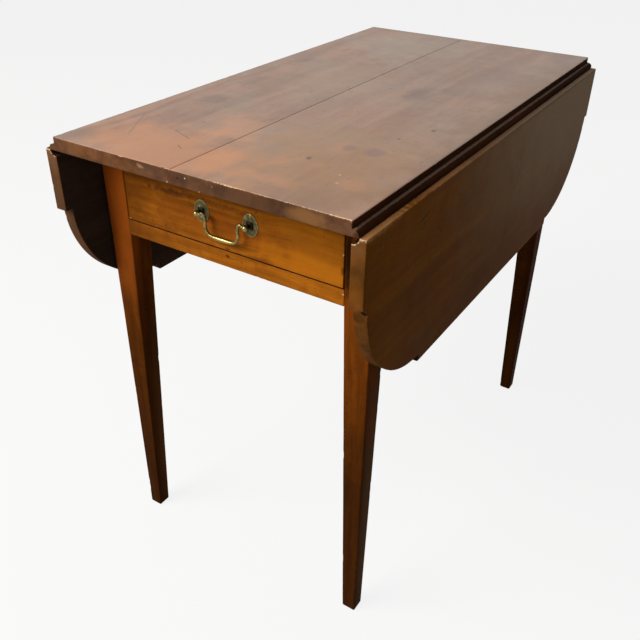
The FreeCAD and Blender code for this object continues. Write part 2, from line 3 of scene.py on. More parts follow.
import bpy
import numpy as np
from mathutils import Matrix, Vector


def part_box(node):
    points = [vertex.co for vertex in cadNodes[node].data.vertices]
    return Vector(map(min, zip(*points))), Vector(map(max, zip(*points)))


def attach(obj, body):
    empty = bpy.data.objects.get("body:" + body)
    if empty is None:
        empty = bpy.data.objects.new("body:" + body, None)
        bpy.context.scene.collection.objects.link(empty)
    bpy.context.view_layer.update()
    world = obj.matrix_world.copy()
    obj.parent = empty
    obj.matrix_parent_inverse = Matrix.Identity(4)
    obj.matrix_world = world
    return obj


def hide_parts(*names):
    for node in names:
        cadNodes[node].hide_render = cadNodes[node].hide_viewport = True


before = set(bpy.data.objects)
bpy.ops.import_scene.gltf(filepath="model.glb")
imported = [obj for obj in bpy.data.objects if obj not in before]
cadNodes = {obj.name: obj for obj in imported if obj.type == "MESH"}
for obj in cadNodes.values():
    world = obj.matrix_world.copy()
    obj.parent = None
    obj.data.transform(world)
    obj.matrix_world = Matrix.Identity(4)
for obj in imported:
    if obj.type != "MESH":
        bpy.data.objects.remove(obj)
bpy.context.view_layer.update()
mm = 0.001
print("frame loaded with", len(cadNodes), "nodes")


# Numpy helpers

# Lattice noise: random numbers on a cubic lattice, blended between lattice points by 3t^2 - 2t^3.
def latticeNoise(points, cell, seed):
    table = np.random.default_rng(seed).random((24, 24, 24))
    place = points / cell
    base = np.floor(place).astype(int)
    t = place - base
    t = t * t * (3 - 2 * t)
    value = np.zeros(points.shape[:-1])
    for corner in range(8):
        step = np.array([corner & 1, corner >> 1 & 1, corner >> 2 & 1])
        weight = np.prod(np.where(step == 1, t, 1 - t), axis=-1)
        index = (base + step) % 24
        value += weight * table[index[..., 0], index[..., 1], index[..., 2]]
    return value


# Ease curve: 0 below low, 1 above high, 3t^2 - 2t^3 between.
def easeStep(value, low, high):
    t = np.clip((value - low) / (high - low), 0, 1)
    return t * t * (3 - 2 * t)


# How far a quarter round of this radius falls back at a distance from its arris.
def roundOver(distance, radius):
    inside = np.clip(radius - distance, 0, radius)
    return radius - np.sqrt(np.maximum(radius * radius - inside * inside, 0))


# Even stops between the given marks, no further apart than the pitch, with every mark kept.
def stops(marks, pitch):
    runs = [np.linspace(a, b, max(2, int(math.ceil(abs(b - a) / pitch)) + 1))[:-1]
            for a, b in zip(marks, marks[1:])]
    return np.concatenate(runs + [np.array(marks[-1:], float)])


# Marks just before and just after each place, so that a wall there comes out upright.
def doubled(places, slit=0.02):
    return [place + side * slit for place in places for side in (-1, 1)]


# Chips along an arris: noise over a threshold, fading with distance from the arris.
def chipField(points, distance, look, seed):
    small = latticeNoise(points, look["chipLength"], seed)
    large = latticeNoise(points, look["chipLength"] * 4, seed + 1)
    bite = easeStep(small * 0.65 + large * 0.35, look["chipFrom"], look["chipFrom"] + 0.16)
    return bite * np.exp(-distance / look["chipReach"])


# How far an arris is rubbed bare: 0.6 of a coarse noise plus 0.4 of a fine one.
def rubField(points, look, seed):
    coarse = latticeNoise(points, look["rubCoarse"], seed)
    return coarse * 0.6 + latticeNoise(points, look["rubFine"], seed + 1) * 0.4


# Stops outwards from 0, and their mirror images on the other side.
def bothWays(half):
    return np.concatenate([-half[:0:-1], half])


# Angles of one full turn in even steps, as a row.
def fullTurn(count):
    return np.linspace(0, 2 * math.pi, count, endpoint=False)[None]


# Points from three coordinates, each a grid, a column, a row or one number.
def joined(x, y, z):
    return np.stack(np.broadcast_arrays(x, y, z), axis=-1)


# One more ring at each end, drawn towards a middle along one axis, keeps the wear off the flat ends.
def closeEnds(points, wear, axis, middle, share):
    rims = points[[0, -1]].copy()
    rims[..., axis] = middle + (rims[..., axis] - middle) * share
    bare = np.zeros_like(wear[:1])
    return np.concatenate([rims[:1], points, rims[1:]]), np.concatenate([bare, wear, bare])


# New object at the origin, linked to the scene.
def linked(name, data):
    made = bpy.data.objects.new(name, data)
    bpy.context.scene.collection.objects.link(made)
    return made


# One value of every face, in rows of the given width.
def faceValues(mesh, key, width):
    values = np.empty(len(mesh.polygons) * width)
    mesh.polygons.foreach_get(key, values)
    return values.reshape(-1, width)


# Mesh from rings: quads join ring to ring, each ring is closed, and a flat cap closes both ends.
def skin(name, rings, materials, faceKind, wear):
    count, around = rings.shape[:2]
    grid = np.arange(count * around).reshape(count, around)
    beside = np.roll(grid, -1, axis=1)
    quads = np.stack([grid[:-1], beside[:-1], beside[1:], grid[1:]], axis=-1).reshape(-1, 4)
    faces = quads.tolist() + [grid[0][::-1].tolist(), grid[-1].tolist()]
    mesh = bpy.data.meshes.new(name)
    mesh.from_pydata((rings.reshape(-1, 3) * mm).tolist(), [], faces)
    mesh.update()
    facePlace = faceValues(mesh, "center", 3)
    faceNormal = faceValues(mesh, "normal", 3)
    faceArea = faceValues(mesh, "area", 1)[:, 0]
    volume = (np.einsum("ij,ij->i", facePlace, faceNormal) * faceArea).sum()
    if volume < 0:
        mesh.flip_normals()
        faceNormal = -faceNormal
    for material in materials:
        mesh.materials.append(material)
    if faceKind is not None:
        mesh.polygons.foreach_set("material_index", faceKind(facePlace / mm, faceNormal).astype(np.int32))
    mesh.shade_smooth()
    mesh.set_sharp_from_angle(angle=math.radians(40))
    layer = mesh.attributes.new("wear", "FLOAT", "POINT")
    layer.data.foreach_set("value", np.broadcast_to(wear, rings.shape[:2]).ravel().astype(np.float32))
    return linked(name, mesh)


# A finished piece stands for its CAD node and rides on the node's body.
def settle(piece, body, node):
    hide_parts(node)
    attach(piece, body)


# The usual piece: a skin that takes its name from the CAD node it stands for.
def dress(node, body, rings, materials, faceKind, wear):
    settle(skin(node.title().replace("_", ""), rings, materials, faceKind, wear), body, node)


# Node helpers for the materials

# Linear light of an sRGB tone: share / 12.92 near black, ((share + 0.055) / 1.055) ^ 2.4 above it.
def tone(red, green, blue):
    shares = np.array([red, green, blue]) / 255
    linear = np.where(shares <= 0.04045, shares / 12.92, ((shares + 0.055) / 1.055) ** 2.4)
    return (*linear.tolist(), 1.0)


# A node with its settings; an input that is a socket is linked, any other is set as a constant.
def put(tree, kind, settings, inputs):
    made = tree.nodes.new(kind)
    for key, value in settings.items():
        setattr(made, key, value)
    for key, value in inputs.items():
        if isinstance(value, bpy.types.NodeSocket):
            tree.links.new(value, made.inputs[key])
        else:
            made.inputs[key].default_value = value
    return made


# One number from two. This helper and those below build in the tree of their first socket.
def mathNode(operation, first, second=0.0, clamp=False):
    made = put(first.id_data, "ShaderNodeMath", {"operation": operation, "use_clamp": clamp},
               {0: first, 1: second})
    return made.outputs[0]


# One vector from two, or one number where the operation measures.
def vectorNode(operation, first, second=(0.0, 0.0, 0.0)):
    made = put(first.id_data, "ShaderNodeVectorMath", {"operation": operation}, {0: first, 1: second})
    return made.outputs["Value"] if operation in ("LENGTH", "DOT_PRODUCT") else made.outputs["Vector"]


# Noise of about 0 to 1 at a scale given in cells for each metre.
def noiseNode(vector, scale, detail=3.0, rough=0.55, warp=0.0):
    made = put(vector.id_data, "ShaderNodeTexNoise", {"noise_dimensions": "3D"},
               {"Vector": vector, "Scale": scale, "Detail": detail, "Roughness": rough, "Distortion": warp})
    return made.outputs["Fac"]


# Value eased from 0 at low to top at high; low may lie above high.
def rise(value, low, high, top=1.0):
    made = put(value.id_data, "ShaderNodeMapRange", {"interpolation_type": "SMOOTHSTEP", "clamp": True},
               {"Value": value, "From Min": low, "From Max": high, "To Min": 0.0, "To Max": top})
    return made.outputs["Result"]


# First colour times 1 - share plus the second, given as a tone, times share.
def colourMix(share, first, second):
    blend = {"data_type": "RGBA", "blend_type": "MIX", "clamp_factor": True}
    return put(share.id_data, "ShaderNodeMix", blend, {0: share, 6: first, 7: tone(*second)}).outputs[2]


# Material with an empty tree.
def newMaterial(name):
    material = bpy.data.materials.new(name)
    material.use_nodes = True
    tree = material.node_tree
    tree.nodes.clear()
    return material, tree


# Place of a point on the object, in metres.
def objectPlace(tree):
    return put(tree, "ShaderNodeTexCoord", {}, {}).outputs["Object"]


# Wear attribute of the mesh.
def wearOf(tree):
    source = {"attribute_name": "wear", "attribute_type": "GEOMETRY"}
    return put(tree, "ShaderNodeAttribute", source, {}).outputs["Fac"]


# Bump from a height, then the shader, then the material's output.
def surface(tree, strength, depth, height, inputs):
    bump = put(tree, "ShaderNodeBump", {}, {"Strength": strength, "Distance": depth, "Height": height})
    shader = put(tree, "ShaderNodeBsdfPrincipled", {}, {**inputs, "Normal": bump.outputs["Normal"]})
    put(tree, "ShaderNodeOutputMaterial", {}, {"Surface": shader.outputs[0]})


# Distance of a place from the stretch between two points, all in millimetres.
def lineDistance(place, start, end):
    run = np.subtract(end, start)
    offset = vectorNode("SUBTRACT", place, tuple(start))
    along = vectorNode("DOT_PRODUCT", offset, tuple(run / max(float(run @ run), 1e-9)))
    along = mathNode("ADD", along, 0.0, clamp=True)
    nearest = put(along.id_data, "ShaderNodeVectorMath", {"operation": "SCALE"},
                  {0: tuple(run), "Scale": along})
    return vectorNode("LENGTH", vectorNode("SUBTRACT", offset, nearest.outputs["Vector"]))


# Old polished wood. Long noise along the grain gives the figure and the streaks, round noise the
# blotches and clouds in the finish, thin ridges of noise the scratches. Spots are ellipsoids with a
# ragged edge, marks are thin lines, and the wear attribute bares the arrises. Changes are to topLook.
def makeWood(name, **changes):
    look = {**topLook, **changes}
    material, tree = newMaterial(name)
    place = objectPlace(tree)
    stretch = [1.0, 1.0, 1.0]
    stretch[look["grainAxis"]] = look["grainStretch"]
    sway = noiseNode(place, 5.0, 2.0)
    sway = mathNode("MULTIPLY", mathNode("SUBTRACT", sway, 0.5), look["sway"])
    sway = put(tree, "ShaderNodeCombineXYZ", {}, {"X": sway, "Y": sway, "Z": sway}).outputs[0]
    grain = vectorNode("MULTIPLY", vectorNode("ADD", place, sway), tuple(stretch))
    figure = noiseNode(grain, look["figureScale"], 3.0, 0.5, 0.6)
    streak = noiseNode(grain, look["streakScale"], 6.0, 0.62)
    pore = noiseNode(grain, look["poreScale"], 2.0, 0.5)
    blotch = noiseNode(place, look["blotchScale"], 5.0, 0.62, 0.4)
    cloud = noiseNode(place, look["blotchScale"] * 0.55, 4.0, 0.55, 0.8)
    mottle = noiseNode(place, look["mottleScale"], 4.0, 0.65)
    speck = noiseNode(place, look["speckScale"], 2.0, 0.5)
    lanes = {0: look["streakShare"], 2: rise(figure, 0.34, 0.66), 3: rise(streak, 0.3, 0.7)}
    lane = put(tree, "ShaderNodeMix", {"data_type": "FLOAT"}, lanes).outputs[0]
    colour = colourMix(lane, tone(*look["dark"]), look["pale"])
    poreMask = rise(pore, 0.62, 0.74, look["poreShare"])
    for mask, layer in (
            (rise(blotch, 0.42, 0.68, look["blotchShare"]), "blotch"),
            (rise(cloud, 0.44, 0.7, look["cloudShare"]), "cloud"),
            (rise(mottle, 0.5, 0.68, look["mottleShare"]), "dark"),
            (poreMask, "pore"),
            (rise(speck, 0.67, 0.73, look["speckShare"]), "pore")):
        colour = colourMix(mask, colour, look[layer])
    millimetres = vectorNode("MULTIPLY", place, (1000.0, 1000.0, 1000.0))
    edges = {}
    for blot in look.get("spots", []):
        fineness = 24.0 if min(blot["size"]) > 9.0 else 170.0  # small spots get a finer edge
        if fineness not in edges:
            edges[fineness] = mathNode("SUBTRACT", noiseNode(place, fineness, 4.0, 0.6), 0.5)
        offset = vectorNode("SUBTRACT", millimetres, tuple(blot["at"]))
        reach = vectorNode("LENGTH", vectorNode("DIVIDE", offset, tuple(blot["size"])))
        reach = mathNode("ADD", reach, mathNode("MULTIPLY", edges[fineness], blot["ragged"]))
        mask = rise(reach, 1.0, blot["soft"], blot["share"])
        colour = colourMix(mask, colour, blot["tone"])
    lineMask = None
    for line in look.get("marks", []):
        distance = lineDistance(millimetres, line["from"], line["to"])
        mask = rise(distance, line["width"], line["width"] * 0.35, line["share"])
        colour = colourMix(mask, colour, line["tone"])
        lineMask = mask if lineMask is None else mathNode("MAXIMUM", lineMask, mask)
    ridge = vectorNode("MULTIPLY", place, look["scratchStretch"])
    ridge = noiseNode(ridge, look["scratchScale"], 2.0, 0.5, 1.2)
    ridge = mathNode("ABSOLUTE", mathNode("SUBTRACT", ridge, 0.5))
    patch = rise(noiseNode(place, 11.0, 2.0), 0.52, 0.66)
    scratch = mathNode("MULTIPLY", rise(ridge, 0.0035, 0.001), patch)
    scratchMask = mathNode("MULTIPLY", scratch, look["scratchShare"])
    colour = colourMix(scratchMask, colour, look["scratch"])
    crumbs = noiseNode(place, 260.0, 3.0, 0.65)
    worn = mathNode("MULTIPLY", wearOf(tree), rise(crumbs, 0.32, 0.52))
    wornMask = rise(worn, 0.16, 0.62, look["wornShare"])
    colour = colourMix(wornMask, colour, look["worn"])
    gloss = mathNode("MULTIPLY", noiseNode(place, 34.0, 4.0, 0.6), look["roughSpread"])
    gloss = mathNode("ADD", gloss, look["rough"])
    gloss = mathNode("ADD", gloss, mathNode("MULTIPLY", wornMask, 0.25), clamp=True)
    height = mathNode("MULTIPLY", streak, 0.5)
    height = mathNode("SUBTRACT", height, mathNode("MULTIPLY", poreMask, 0.6))
    height = mathNode("SUBTRACT", height, mathNode("MULTIPLY", scratch, 0.8))
    if lineMask is not None:
        height = mathNode("SUBTRACT", height, lineMask)
    surface(tree, look["bump"], 0.0006, height,
            {"Base Color": colour, "Roughness": gloss, "Specular IOR Level": look["specular"]})
    return material


# Looks of the woods; each holds only what differs from the show wood of the top.
topLook = dict(
    grainAxis=1, grainStretch=0.05, sway=0.03,
    figureScale=26.0, streakScale=110.0, poreScale=620.0, blotchScale=9.0, mottleScale=60.0,
    streakShare=0.25, speckScale=190.0, speckShare=0.7,
    dark=(116, 84, 64), pale=(150, 112, 87), blotch=(110, 84, 69), blotchShare=0.5,
    cloud=(136, 115, 99), cloudShare=0.6, mottleShare=0.3, pore=(84, 56, 42), poreShare=0.3,
    scratch=(92, 64, 50), scratchShare=0.4, scratchScale=7.0, scratchStretch=(1.0, 0.35, 1.0),
    worn=(214, 176, 136), wornShare=0.9,
    rough=0.36, roughSpread=0.16, specular=0.5, bump=0.12,
)


# Ellipsoid of another tone: its share is full inside soft times its size, and noise times ragged
# moves its edge.
def spot(at, size, share, colour, soft=0.25, ragged=1.6):
    return {"at": at, "size": size, "share": share, "tone": colour, "soft": soft, "ragged": ragged}


# Thin line of another tone.
def mark(start, end, width, share, colour):
    return {"from": start, "to": end, "width": width, "share": share, "tone": colour}


# Planes that hold spots and marks, in millimetres
topPlane = 724.0
endPlane = -431.5  # front ends of the top and the leaves
stepPlane = -420.5  # the leaves' front steps
frontPlane = -362.5  # front of the frame
leafPlane = 246.5  # show face of the right leaf


# Spots and marks by their two places in one of those planes.
def stain(x, y, wide, long, share, colour=(84, 62, 52)):
    return spot((x, y, topPlane), (wide, long, 60.0), share, colour)


def score(start, end, width, share, colour=(74, 50, 40)):
    return mark((*start, topPlane), (*end, topPlane), width, share, colour)


def endSpot(x, z, wide, tall, share, colour):
    return spot((x, endPlane, z), (wide, 20.0, tall), share, colour)


def frontSpot(x, z, wide, tall, share, colour):
    return spot((x, frontPlane, z), (wide, 40.0, tall), share, colour)


def leafMark(start, end, width, share, colour):
    return mark((leafPlane, *start), (leafPlane, *end), width, share, colour)


topWood = makeWood(
    "topWood",
    spots=[stain(*row) for row in (  # x, y, width, length, share, tone
        (110, -300, 190, 200, 0.45, (146, 104, 54)), (-60, 320, 150, 170, 0.45, (146, 128, 108)),
        (-80, 40, 120, 190, 0.4, (146, 124, 102)), (-112, -176, 44, 44, 0.4, (118, 104, 88)),
        (-80, -390, 200, 150, 0.55, (180, 119, 72)), (10, -390, 36, 60, 0.4, (178, 120, 78)),
        (-50, -260, 60, 80, 0.4, (176, 124, 90)), (-222, -405, 46, 50, 0.65, (98, 76, 60)),
        (230, 40, 64, 480, 0.55, (106, 78, 46)), (205, -270, 24, 60, 0.3, (130, 88, 48)),
        (220, 400, 70, 70, 0.35, (96, 74, 54)),
        (180, -404, 60, 50, 0.4, (110, 78, 44)), (96, -386, 40, 26, 0.4, (176, 120, 80)),
        (178, -350, 26, 20, 0.25, (170, 114, 72)), (36, -309, 30, 60, 0.45, (126, 102, 82)),
        (105, -250, 22, 30, 0.3, (168, 118, 82)), (150, 10, 30, 40, 0.3, (160, 118, 88)),
        (-165, -182, 30, 46, 0.5), (-178, -60, 22, 52, 0.45), (-186, 104, 12, 34, 0.45),
        (78, 36, 26, 62, 0.55), (-225, 330, 12, 30, 0.45), (-166, 213, 8, 20, 0.4),
        (150, -243, 15, 18, 0.55, (96, 72, 70)), (114, -245, 12, 14, 0.45, (96, 72, 70)),
        (91, -305, 5, 7, 0.9, (52, 42, 36)), (174, -121, 5, 5, 0.9, (58, 38, 34)),
        (150, -178, 3.5, 3.5, 0.9, (54, 36, 30)), (152, -331, 3, 3, 0.6, (196, 156, 116)),
        (162, -354, 3, 3, 0.6, (196, 156, 116)),
    )],
    marks=[
        score((-158, -364), (-198, -291), 0.9, 0.7), score((-115, -319), (-76, -336), 1.0, 0.85),
        score((-72, -362), (-60, -370), 1.8, 0.5), score((-150, -372), (-168, -340), 0.7, 0.45),
        score((-20, -120), (-6, -60), 0.6, 0.35), score((120, -60), (168, -86), 0.6, 0.35),
        score((-110, 40), (-84, 120), 0.6, 0.35), score((30, 180), (66, 150), 0.7, 0.35),
    ])
endLook = dict(
    grainStretch=0.6, figureScale=30.0, streakScale=150.0, specular=0.012, rough=0.55,
    bump=0.3, scratchShare=0.3,
)
endWood = makeWood(
    "endWood",
    **endLook, blotchScale=26.0, dark=(64, 41, 28), pale=(104, 70, 47), blotch=(72, 51, 40),
    blotchShare=0.6, cloud=(106, 70, 40), cloudShare=0.45, poreShare=0.45, worn=(206, 170, 130),
    spots=[endSpot(*row) for row in (  # x, z, width, height, share, tone
        (-13, 715.7, 3.2, 2.2, 0.95, (26, 16, 10)),
        (-1, 718, 1.1, 1.1, 0.9, (206, 190, 166)),
        (-30, 707, 1.1, 1.0, 0.9, (200, 184, 160)),
        (20, 705.8, 1.2, 1.0, 0.9, (196, 180, 156)),
        (40, 717, 1.0, 1.0, 0.9, (196, 180, 156)),
        (-72, 717.5, 8, 3.6, 0.4, (170, 134, 100)),
        (-150, 714, 100, 14, 0.25, (112, 66, 30)),
        (50, 714, 80, 14, 0.5, (62, 42, 30)),
        (172, 714, 36, 14, 0.5, (142, 98, 54)),
        (236, 708, 9, 9, 0.75, (46, 28, 18)),
    )])
# Dark copy of the wood: painted shade on the rule joint's fillet and quarter round, in the leaves' coves,
# and on the upper and lower faces of the drawer front and rail.
shadedEdgeWood = makeWood(
    "shadedEdgeWood",
    dark=(46, 22, 10), pale=(70, 38, 19), blotch=(34, 18, 9), cloud=(68, 45, 28), cloudShare=0.3,
    pore=(18, 10, 6), scratch=(20, 12, 8), worn=(150, 108, 72), wornShare=0.6, specular=0.002, rough=0.45,
    spots=[
        spot((232, 400, 712), (60, 460, 60), 0.6, (34, 17, 8), 0.2, 0.4),
        # painted highlight: a pale line along the top of each quarter round
        *[spot((x, 0, 714.2), (3.2, 900, 2.1), 0.9, (140, 114, 95), 0.4, 0.6) for x in (231.2, -231.2)],
    ])
leafEndWood = makeWood(
    "leafEndWood",
    **endLook, blotchScale=20.0, dark=(60, 34, 11), pale=(100, 60, 21), blotch=(52, 31, 12),
    blotchShare=0.7, cloud=(108, 66, 24), cloudShare=0.5, poreShare=0.4, worn=(204, 176, 140),
    spots=[
        spot((-237, endPlane, 600), (20, 200, 150), 0.7, (80, 57, 41), 0.1, 0.6),
        endSpot(237, 692, 16, 12, 0.35, (106, 76, 48)),
        endSpot(237, 666, 16, 10, 0.2, (54, 32, 12)),
        endSpot(237, 636, 16, 28, 0.4, (120, 70, 18)),
        endSpot(-237, 690, 20, 24, 0.4, (112, 82, 58)),
        endSpot(-237, 636, 20, 28, 0.45, (68, 46, 31)),
        # painted shadow under the step of the right leaf's front end, softer below it
        spot((234, stepPlane, 600), (12, 12, 10), 0.5, (36, 17, 6), 0.5, 0.6),
        spot((242, stepPlane, 608.5), (8, 9, 3.6), 0.9, (24, 13, 7)),
        endSpot(231, 697.5, 3.4, 2.4, 0.85, (190, 172, 138)),
        endSpot(235, 701, 3.0, 2.4, 0.85, (190, 172, 138)),
        endSpot(-231, 697.5, 3.4, 2.4, 0.8, (176, 158, 132)),
        endSpot(-235, 701, 3.0, 2.4, 0.8, (176, 158, 132)),
    ])
leafWood = makeWood(
    "leafWood",
    dark=(93, 51, 6), pale=(113, 66, 9), blotch=(80, 43, 6), blotchShare=0.45, cloud=(102, 68, 30),
    cloudShare=0.35, pore=(48, 26, 6), scratch=(36, 20, 8), worn=(178, 132, 84), specular=0.006, rough=0.4,
    scratchStretch=(1.0, 0.4, 1.0),
    spots=[
        # painted sheen: the far part of the leaf's show face greyer and paler
        spot((leafPlane, 340, 720), (60, 640, 300), 1.0, (136, 112, 86), 0.2, 0.25),
        spot((leafPlane, -350, 660), (40, 110, 90), 0.15, (120, 72, 14), 0.2, 0.6),
        spot((leafPlane, -60, 450), (40, 420, 140), 0.45, (74, 38, 2), 0.2, 0.4),
        spot((237, 200, 706), (30, 560, 8), 0.7, (104, 84, 66), 0.2, 0.4),
        spot((237, -410, 706), (30, 120, 8), 0.7, (166, 118, 74)),
        spot((241, -230, 706), (8, 120, 4), 0.5, (150, 106, 70)),
    ],
    marks=[
        leafMark((-278, 681), (-301, 676), 1.1, 0.8, (30, 17, 7)),
        leafMark((-284, 671), (-289, 669), 1.3, 0.8, (30, 17, 7)),
        leafMark((-242, 647), (-233, 637), 1.0, 0.7, (40, 22, 10)),
        leafMark((40, 600), (110, 612), 0.8, 0.5, (40, 22, 10)),
    ])
underWood = makeWood(
    "underWood",
    dark=(42, 30, 24), pale=(66, 48, 38), blotch=(34, 26, 22), blotchShare=0.6, cloud=(60, 47, 38),
    cloudShare=0.4, pore=(26, 18, 14), specular=0.01, rough=0.7, scratchShare=0.2, bump=0.35,
    worn=(150, 116, 84))
legWood = makeWood(
    "legWood",
    grainAxis=2, streakShare=0.6, poreShare=0.45, dark=(62, 28, 4), pale=(120, 61, 9), blotch=(62, 28, 5),
    blotchShare=0.5, cloud=(104, 54, 10), cloudShare=0.4, pore=(40, 19, 5), scratch=(38, 18, 6),
    worn=(170, 116, 64), wornShare=0.6, specular=0.004, rough=0.42, scratchStretch=(1.0, 1.0, 0.3),
    spots=[
        # painted shade: the legs darker towards the floor
        spot((0, 0, 0), (1500, 1500, 680), 0.8, (42, 21, 6), 0.35, 0.4),
        # painted light on the upper fronts of the two front legs, which the top's overhang shades
        spot((-201, frontPlane, 650), (60, 25, 260), 0.52, (182, 90, 28), 0.1, 0.4),
        spot((201, frontPlane, 560), (60, 25, 240), 0.12, (150, 74, 22), 0.1, 0.4),
        spot((-192, -330, 160), (20, 32, 330), 0.5, (96, 60, 30), 0.3, 0.4),
        spot((221.5, -335, 200), (14, 30, 330), 0.4, (96, 66, 34), 0.3, 0.4),
        # painted shade in the gap between the drawer's right end and the right front leg
        spot((186, frontPlane, 644), (11, 12, 68), 0.9, (22, 12, 5)),
    ])
frontLook = dict(
    grainAxis=0, streakShare=0.6, poreShare=0.45, cloudShare=0.4, pore=(72, 36, 8),
    scratch=(70, 36, 12), worn=(196, 148, 92), specular=0.012, scratchStretch=(0.35, 1.0, 1.0),
)
drawerWood = makeWood(
    "drawerWood",
    **frontLook, dark=(90, 45, 9), pale=(162, 93, 17), blotch=(92, 48, 12), blotchShare=0.45,
    cloud=(156, 94, 14), rough=0.42,
    spots=[frontSpot(*row) for row in (  # x, z, width, height, share, tone
        (-190, 640, 120, 90, 0.35, (78, 40, 12)),
        (-96, 655, 44, 8, 0.65, (60, 32, 16)),
        (-20, 628, 150, 34, 0.4, (124, 58, 14)),
        (70, 632, 90, 26, 0.25, (110, 56, 12)),
        (-36, 656, 110, 6, 0.5, (66, 35, 16)),
        (150, 640, 110, 60, 0.4, (168, 98, 16)),
        (140, 604, 130, 26, 0.35, (190, 110, 18)),
        (-178, 594.6, 2.0, 1.8, 0.9, (206, 170, 120)),
        (0, 596, 7, 3, 0.6, (40, 20, 8)),
        (179, 639, 1.6, 2.0, 0.9, (214, 168, 120)),
        (178, 617, 2.6, 7.0, 0.7, (70, 36, 12)),
    )])
railWood = makeWood(
    "railWood",
    **frontLook, dark=(86, 44, 9), pale=(156, 89, 17), blotch=(90, 46, 12), blotchShare=0.4,
    cloud=(150, 88, 16), rough=0.45,
    spots=[frontSpot(*row) for row in (  # x, z, width, height, share, tone
        (0, 585, 5, 3.5, 0.85, (46, 24, 10)),
        (-190, 580, 90, 40, 0.5, (78, 38, 12)),
        (150, 580, 120, 30, 0.2, (178, 104, 18)),
        (180, 585, 1.8, 1.4, 0.9, (206, 166, 120)),
    )])
innerLook = dict(
    dark=(128, 92, 58), pale=(172, 132, 88), blotch=(104, 76, 50), blotchShare=0.5,
    cloud=(150, 118, 84), cloudShare=0.4, pore=(92, 66, 44), scratchShare=0.2, specular=0.08,
    rough=0.68, bump=0.3,
)
innerWood = makeWood("innerWood", **innerLook)
innerAcross = makeWood("innerAcross", grainAxis=0, **innerLook)
print("woods made")


# Old metal: a bright tone on rubbed places, tarnish in round noise, fine pits as bump.
# Changes are to brassLook.
def makeMetal(name, **changes):
    look = {**brassLook, **changes}
    material, tree = newMaterial(name)
    place = objectPlace(tree)
    tarnish = noiseNode(place, look["patchScale"], 5.0, 0.62, 0.5)
    specks = noiseNode(place, look["speckScale"], 3.0, 0.6)
    dull = rise(tarnish, look["tarnishFrom"], look["tarnishFrom"] + 0.22)
    share = mathNode("SUBTRACT", dull, wearOf(tree), True)
    colour = colourMix(share, tone(*look["bright"]), look["tarnish"])
    colour = colourMix(rise(specks, 0.58, 0.7, look["speckShare"]), colour, look["speck"])
    gloss = mathNode("ADD", mathNode("MULTIPLY", share, look["roughSpread"]), look["rough"])
    height = mathNode("ADD", tarnish, mathNode("MULTIPLY", specks, 0.5))
    surface(tree, look["bump"], 0.0003, height,
            {"Base Color": colour, "Roughness": gloss, "Metallic": look["metallic"]})
    return material


brassLook = dict(
    bright=(150, 134, 82), tarnish=(80, 70, 38), speck=(44, 38, 22), speckShare=0.6,
    patchScale=150.0, speckScale=600.0, tarnishFrom=0.36, rough=0.28, roughSpread=0.2,
    bump=0.08, metallic=1.0,
)
brass = makeMetal("agedBrass", speckShare=0.5, patchScale=120.0, speckScale=700.0)
rosetteBrass = makeMetal(
    "rosetteBrass", bright=(142, 130, 90), tarnish=(84, 76, 48), speck=(44, 38, 24), tarnishFrom=0.3,
    rough=0.36, bump=0.25)
# Dark brass: painted shade on the posts and round them on the rosettes.
postShadeBrass = makeMetal(
    "postShadeBrass", tarnish=(34, 29, 16), speck=(22, 18, 10), tarnishFrom=0.1, rough=0.3, roughSpread=0.25,
    bump=0.2)
iron = makeMetal(
    "oldIron", bright=(92, 86, 80), tarnish=(60, 44, 34), speck=(96, 56, 32), patchScale=160.0,
    speckScale=420.0, rough=0.5, roughSpread=0.3, bump=0.4, metallic=0.75)
print("metals made")

# CAD nodes that stay in view take their finish here.
nodeFinish = {
    "front_top_rail": railWood, "back_apron": railWood, "pull_nuts": brass, "top_screws": iron,
    "drawer_stops": innerAcross, "glue_blocks": innerAcross, "drawer_back": innerAcross,
    "drawer_bottom": innerAcross,
}
pairedWoods = ("side_rail", "fly_block", "fly_bracket", "fly_end", "drawer_runner", "drawer_kicker",
               "drawer_side")
pairedIrons = ("hinge_top_flaps", "hinge_leaf_flaps", "hinge_pins", "hinge_top_screws", "hinge_leaf_screws",
               "bracket_pin")
for side in ("left_", "right_"):
    nodeFinish.update({side + part: innerWood for part in pairedWoods})
    nodeFinish.update({side + part: iron for part in pairedIrons})
for nodeName, finish in nodeFinish.items():
    mesh = cadNodes[nodeName].data
    mesh.materials.clear()
    mesh.materials.append(finish)
print("finish set on", len(nodeFinish), "CAD nodes")


# Box of a CAD node in millimetres.
def nodeBox(node):
    low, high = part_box(node)
    return np.array(low) / mm, np.array(high) / mm


# Order of the materials on the top and the leaves
showFace, endFace, rawFace, jointFace = range(4)


# Faces looking down take the raw underside, faces looking along the grain the end grain, and the
# fillet and the quarter round the dark shaded wood, which paints the shade on the rule joint.
def boardFaces(fillet, top):
    def pick(place, normal):
        joint = (np.abs(place[:, 0]) > fillet - 1.0) & (place[:, 2] < top - 1.0)
        kind = np.where(joint, jointFace, showFace)
        kind = np.where(normal[:, 2] < -0.6, rawFace, kind)
        return np.where(np.abs(normal[:, 1]) > 0.8, endFace, kind)
    return pick


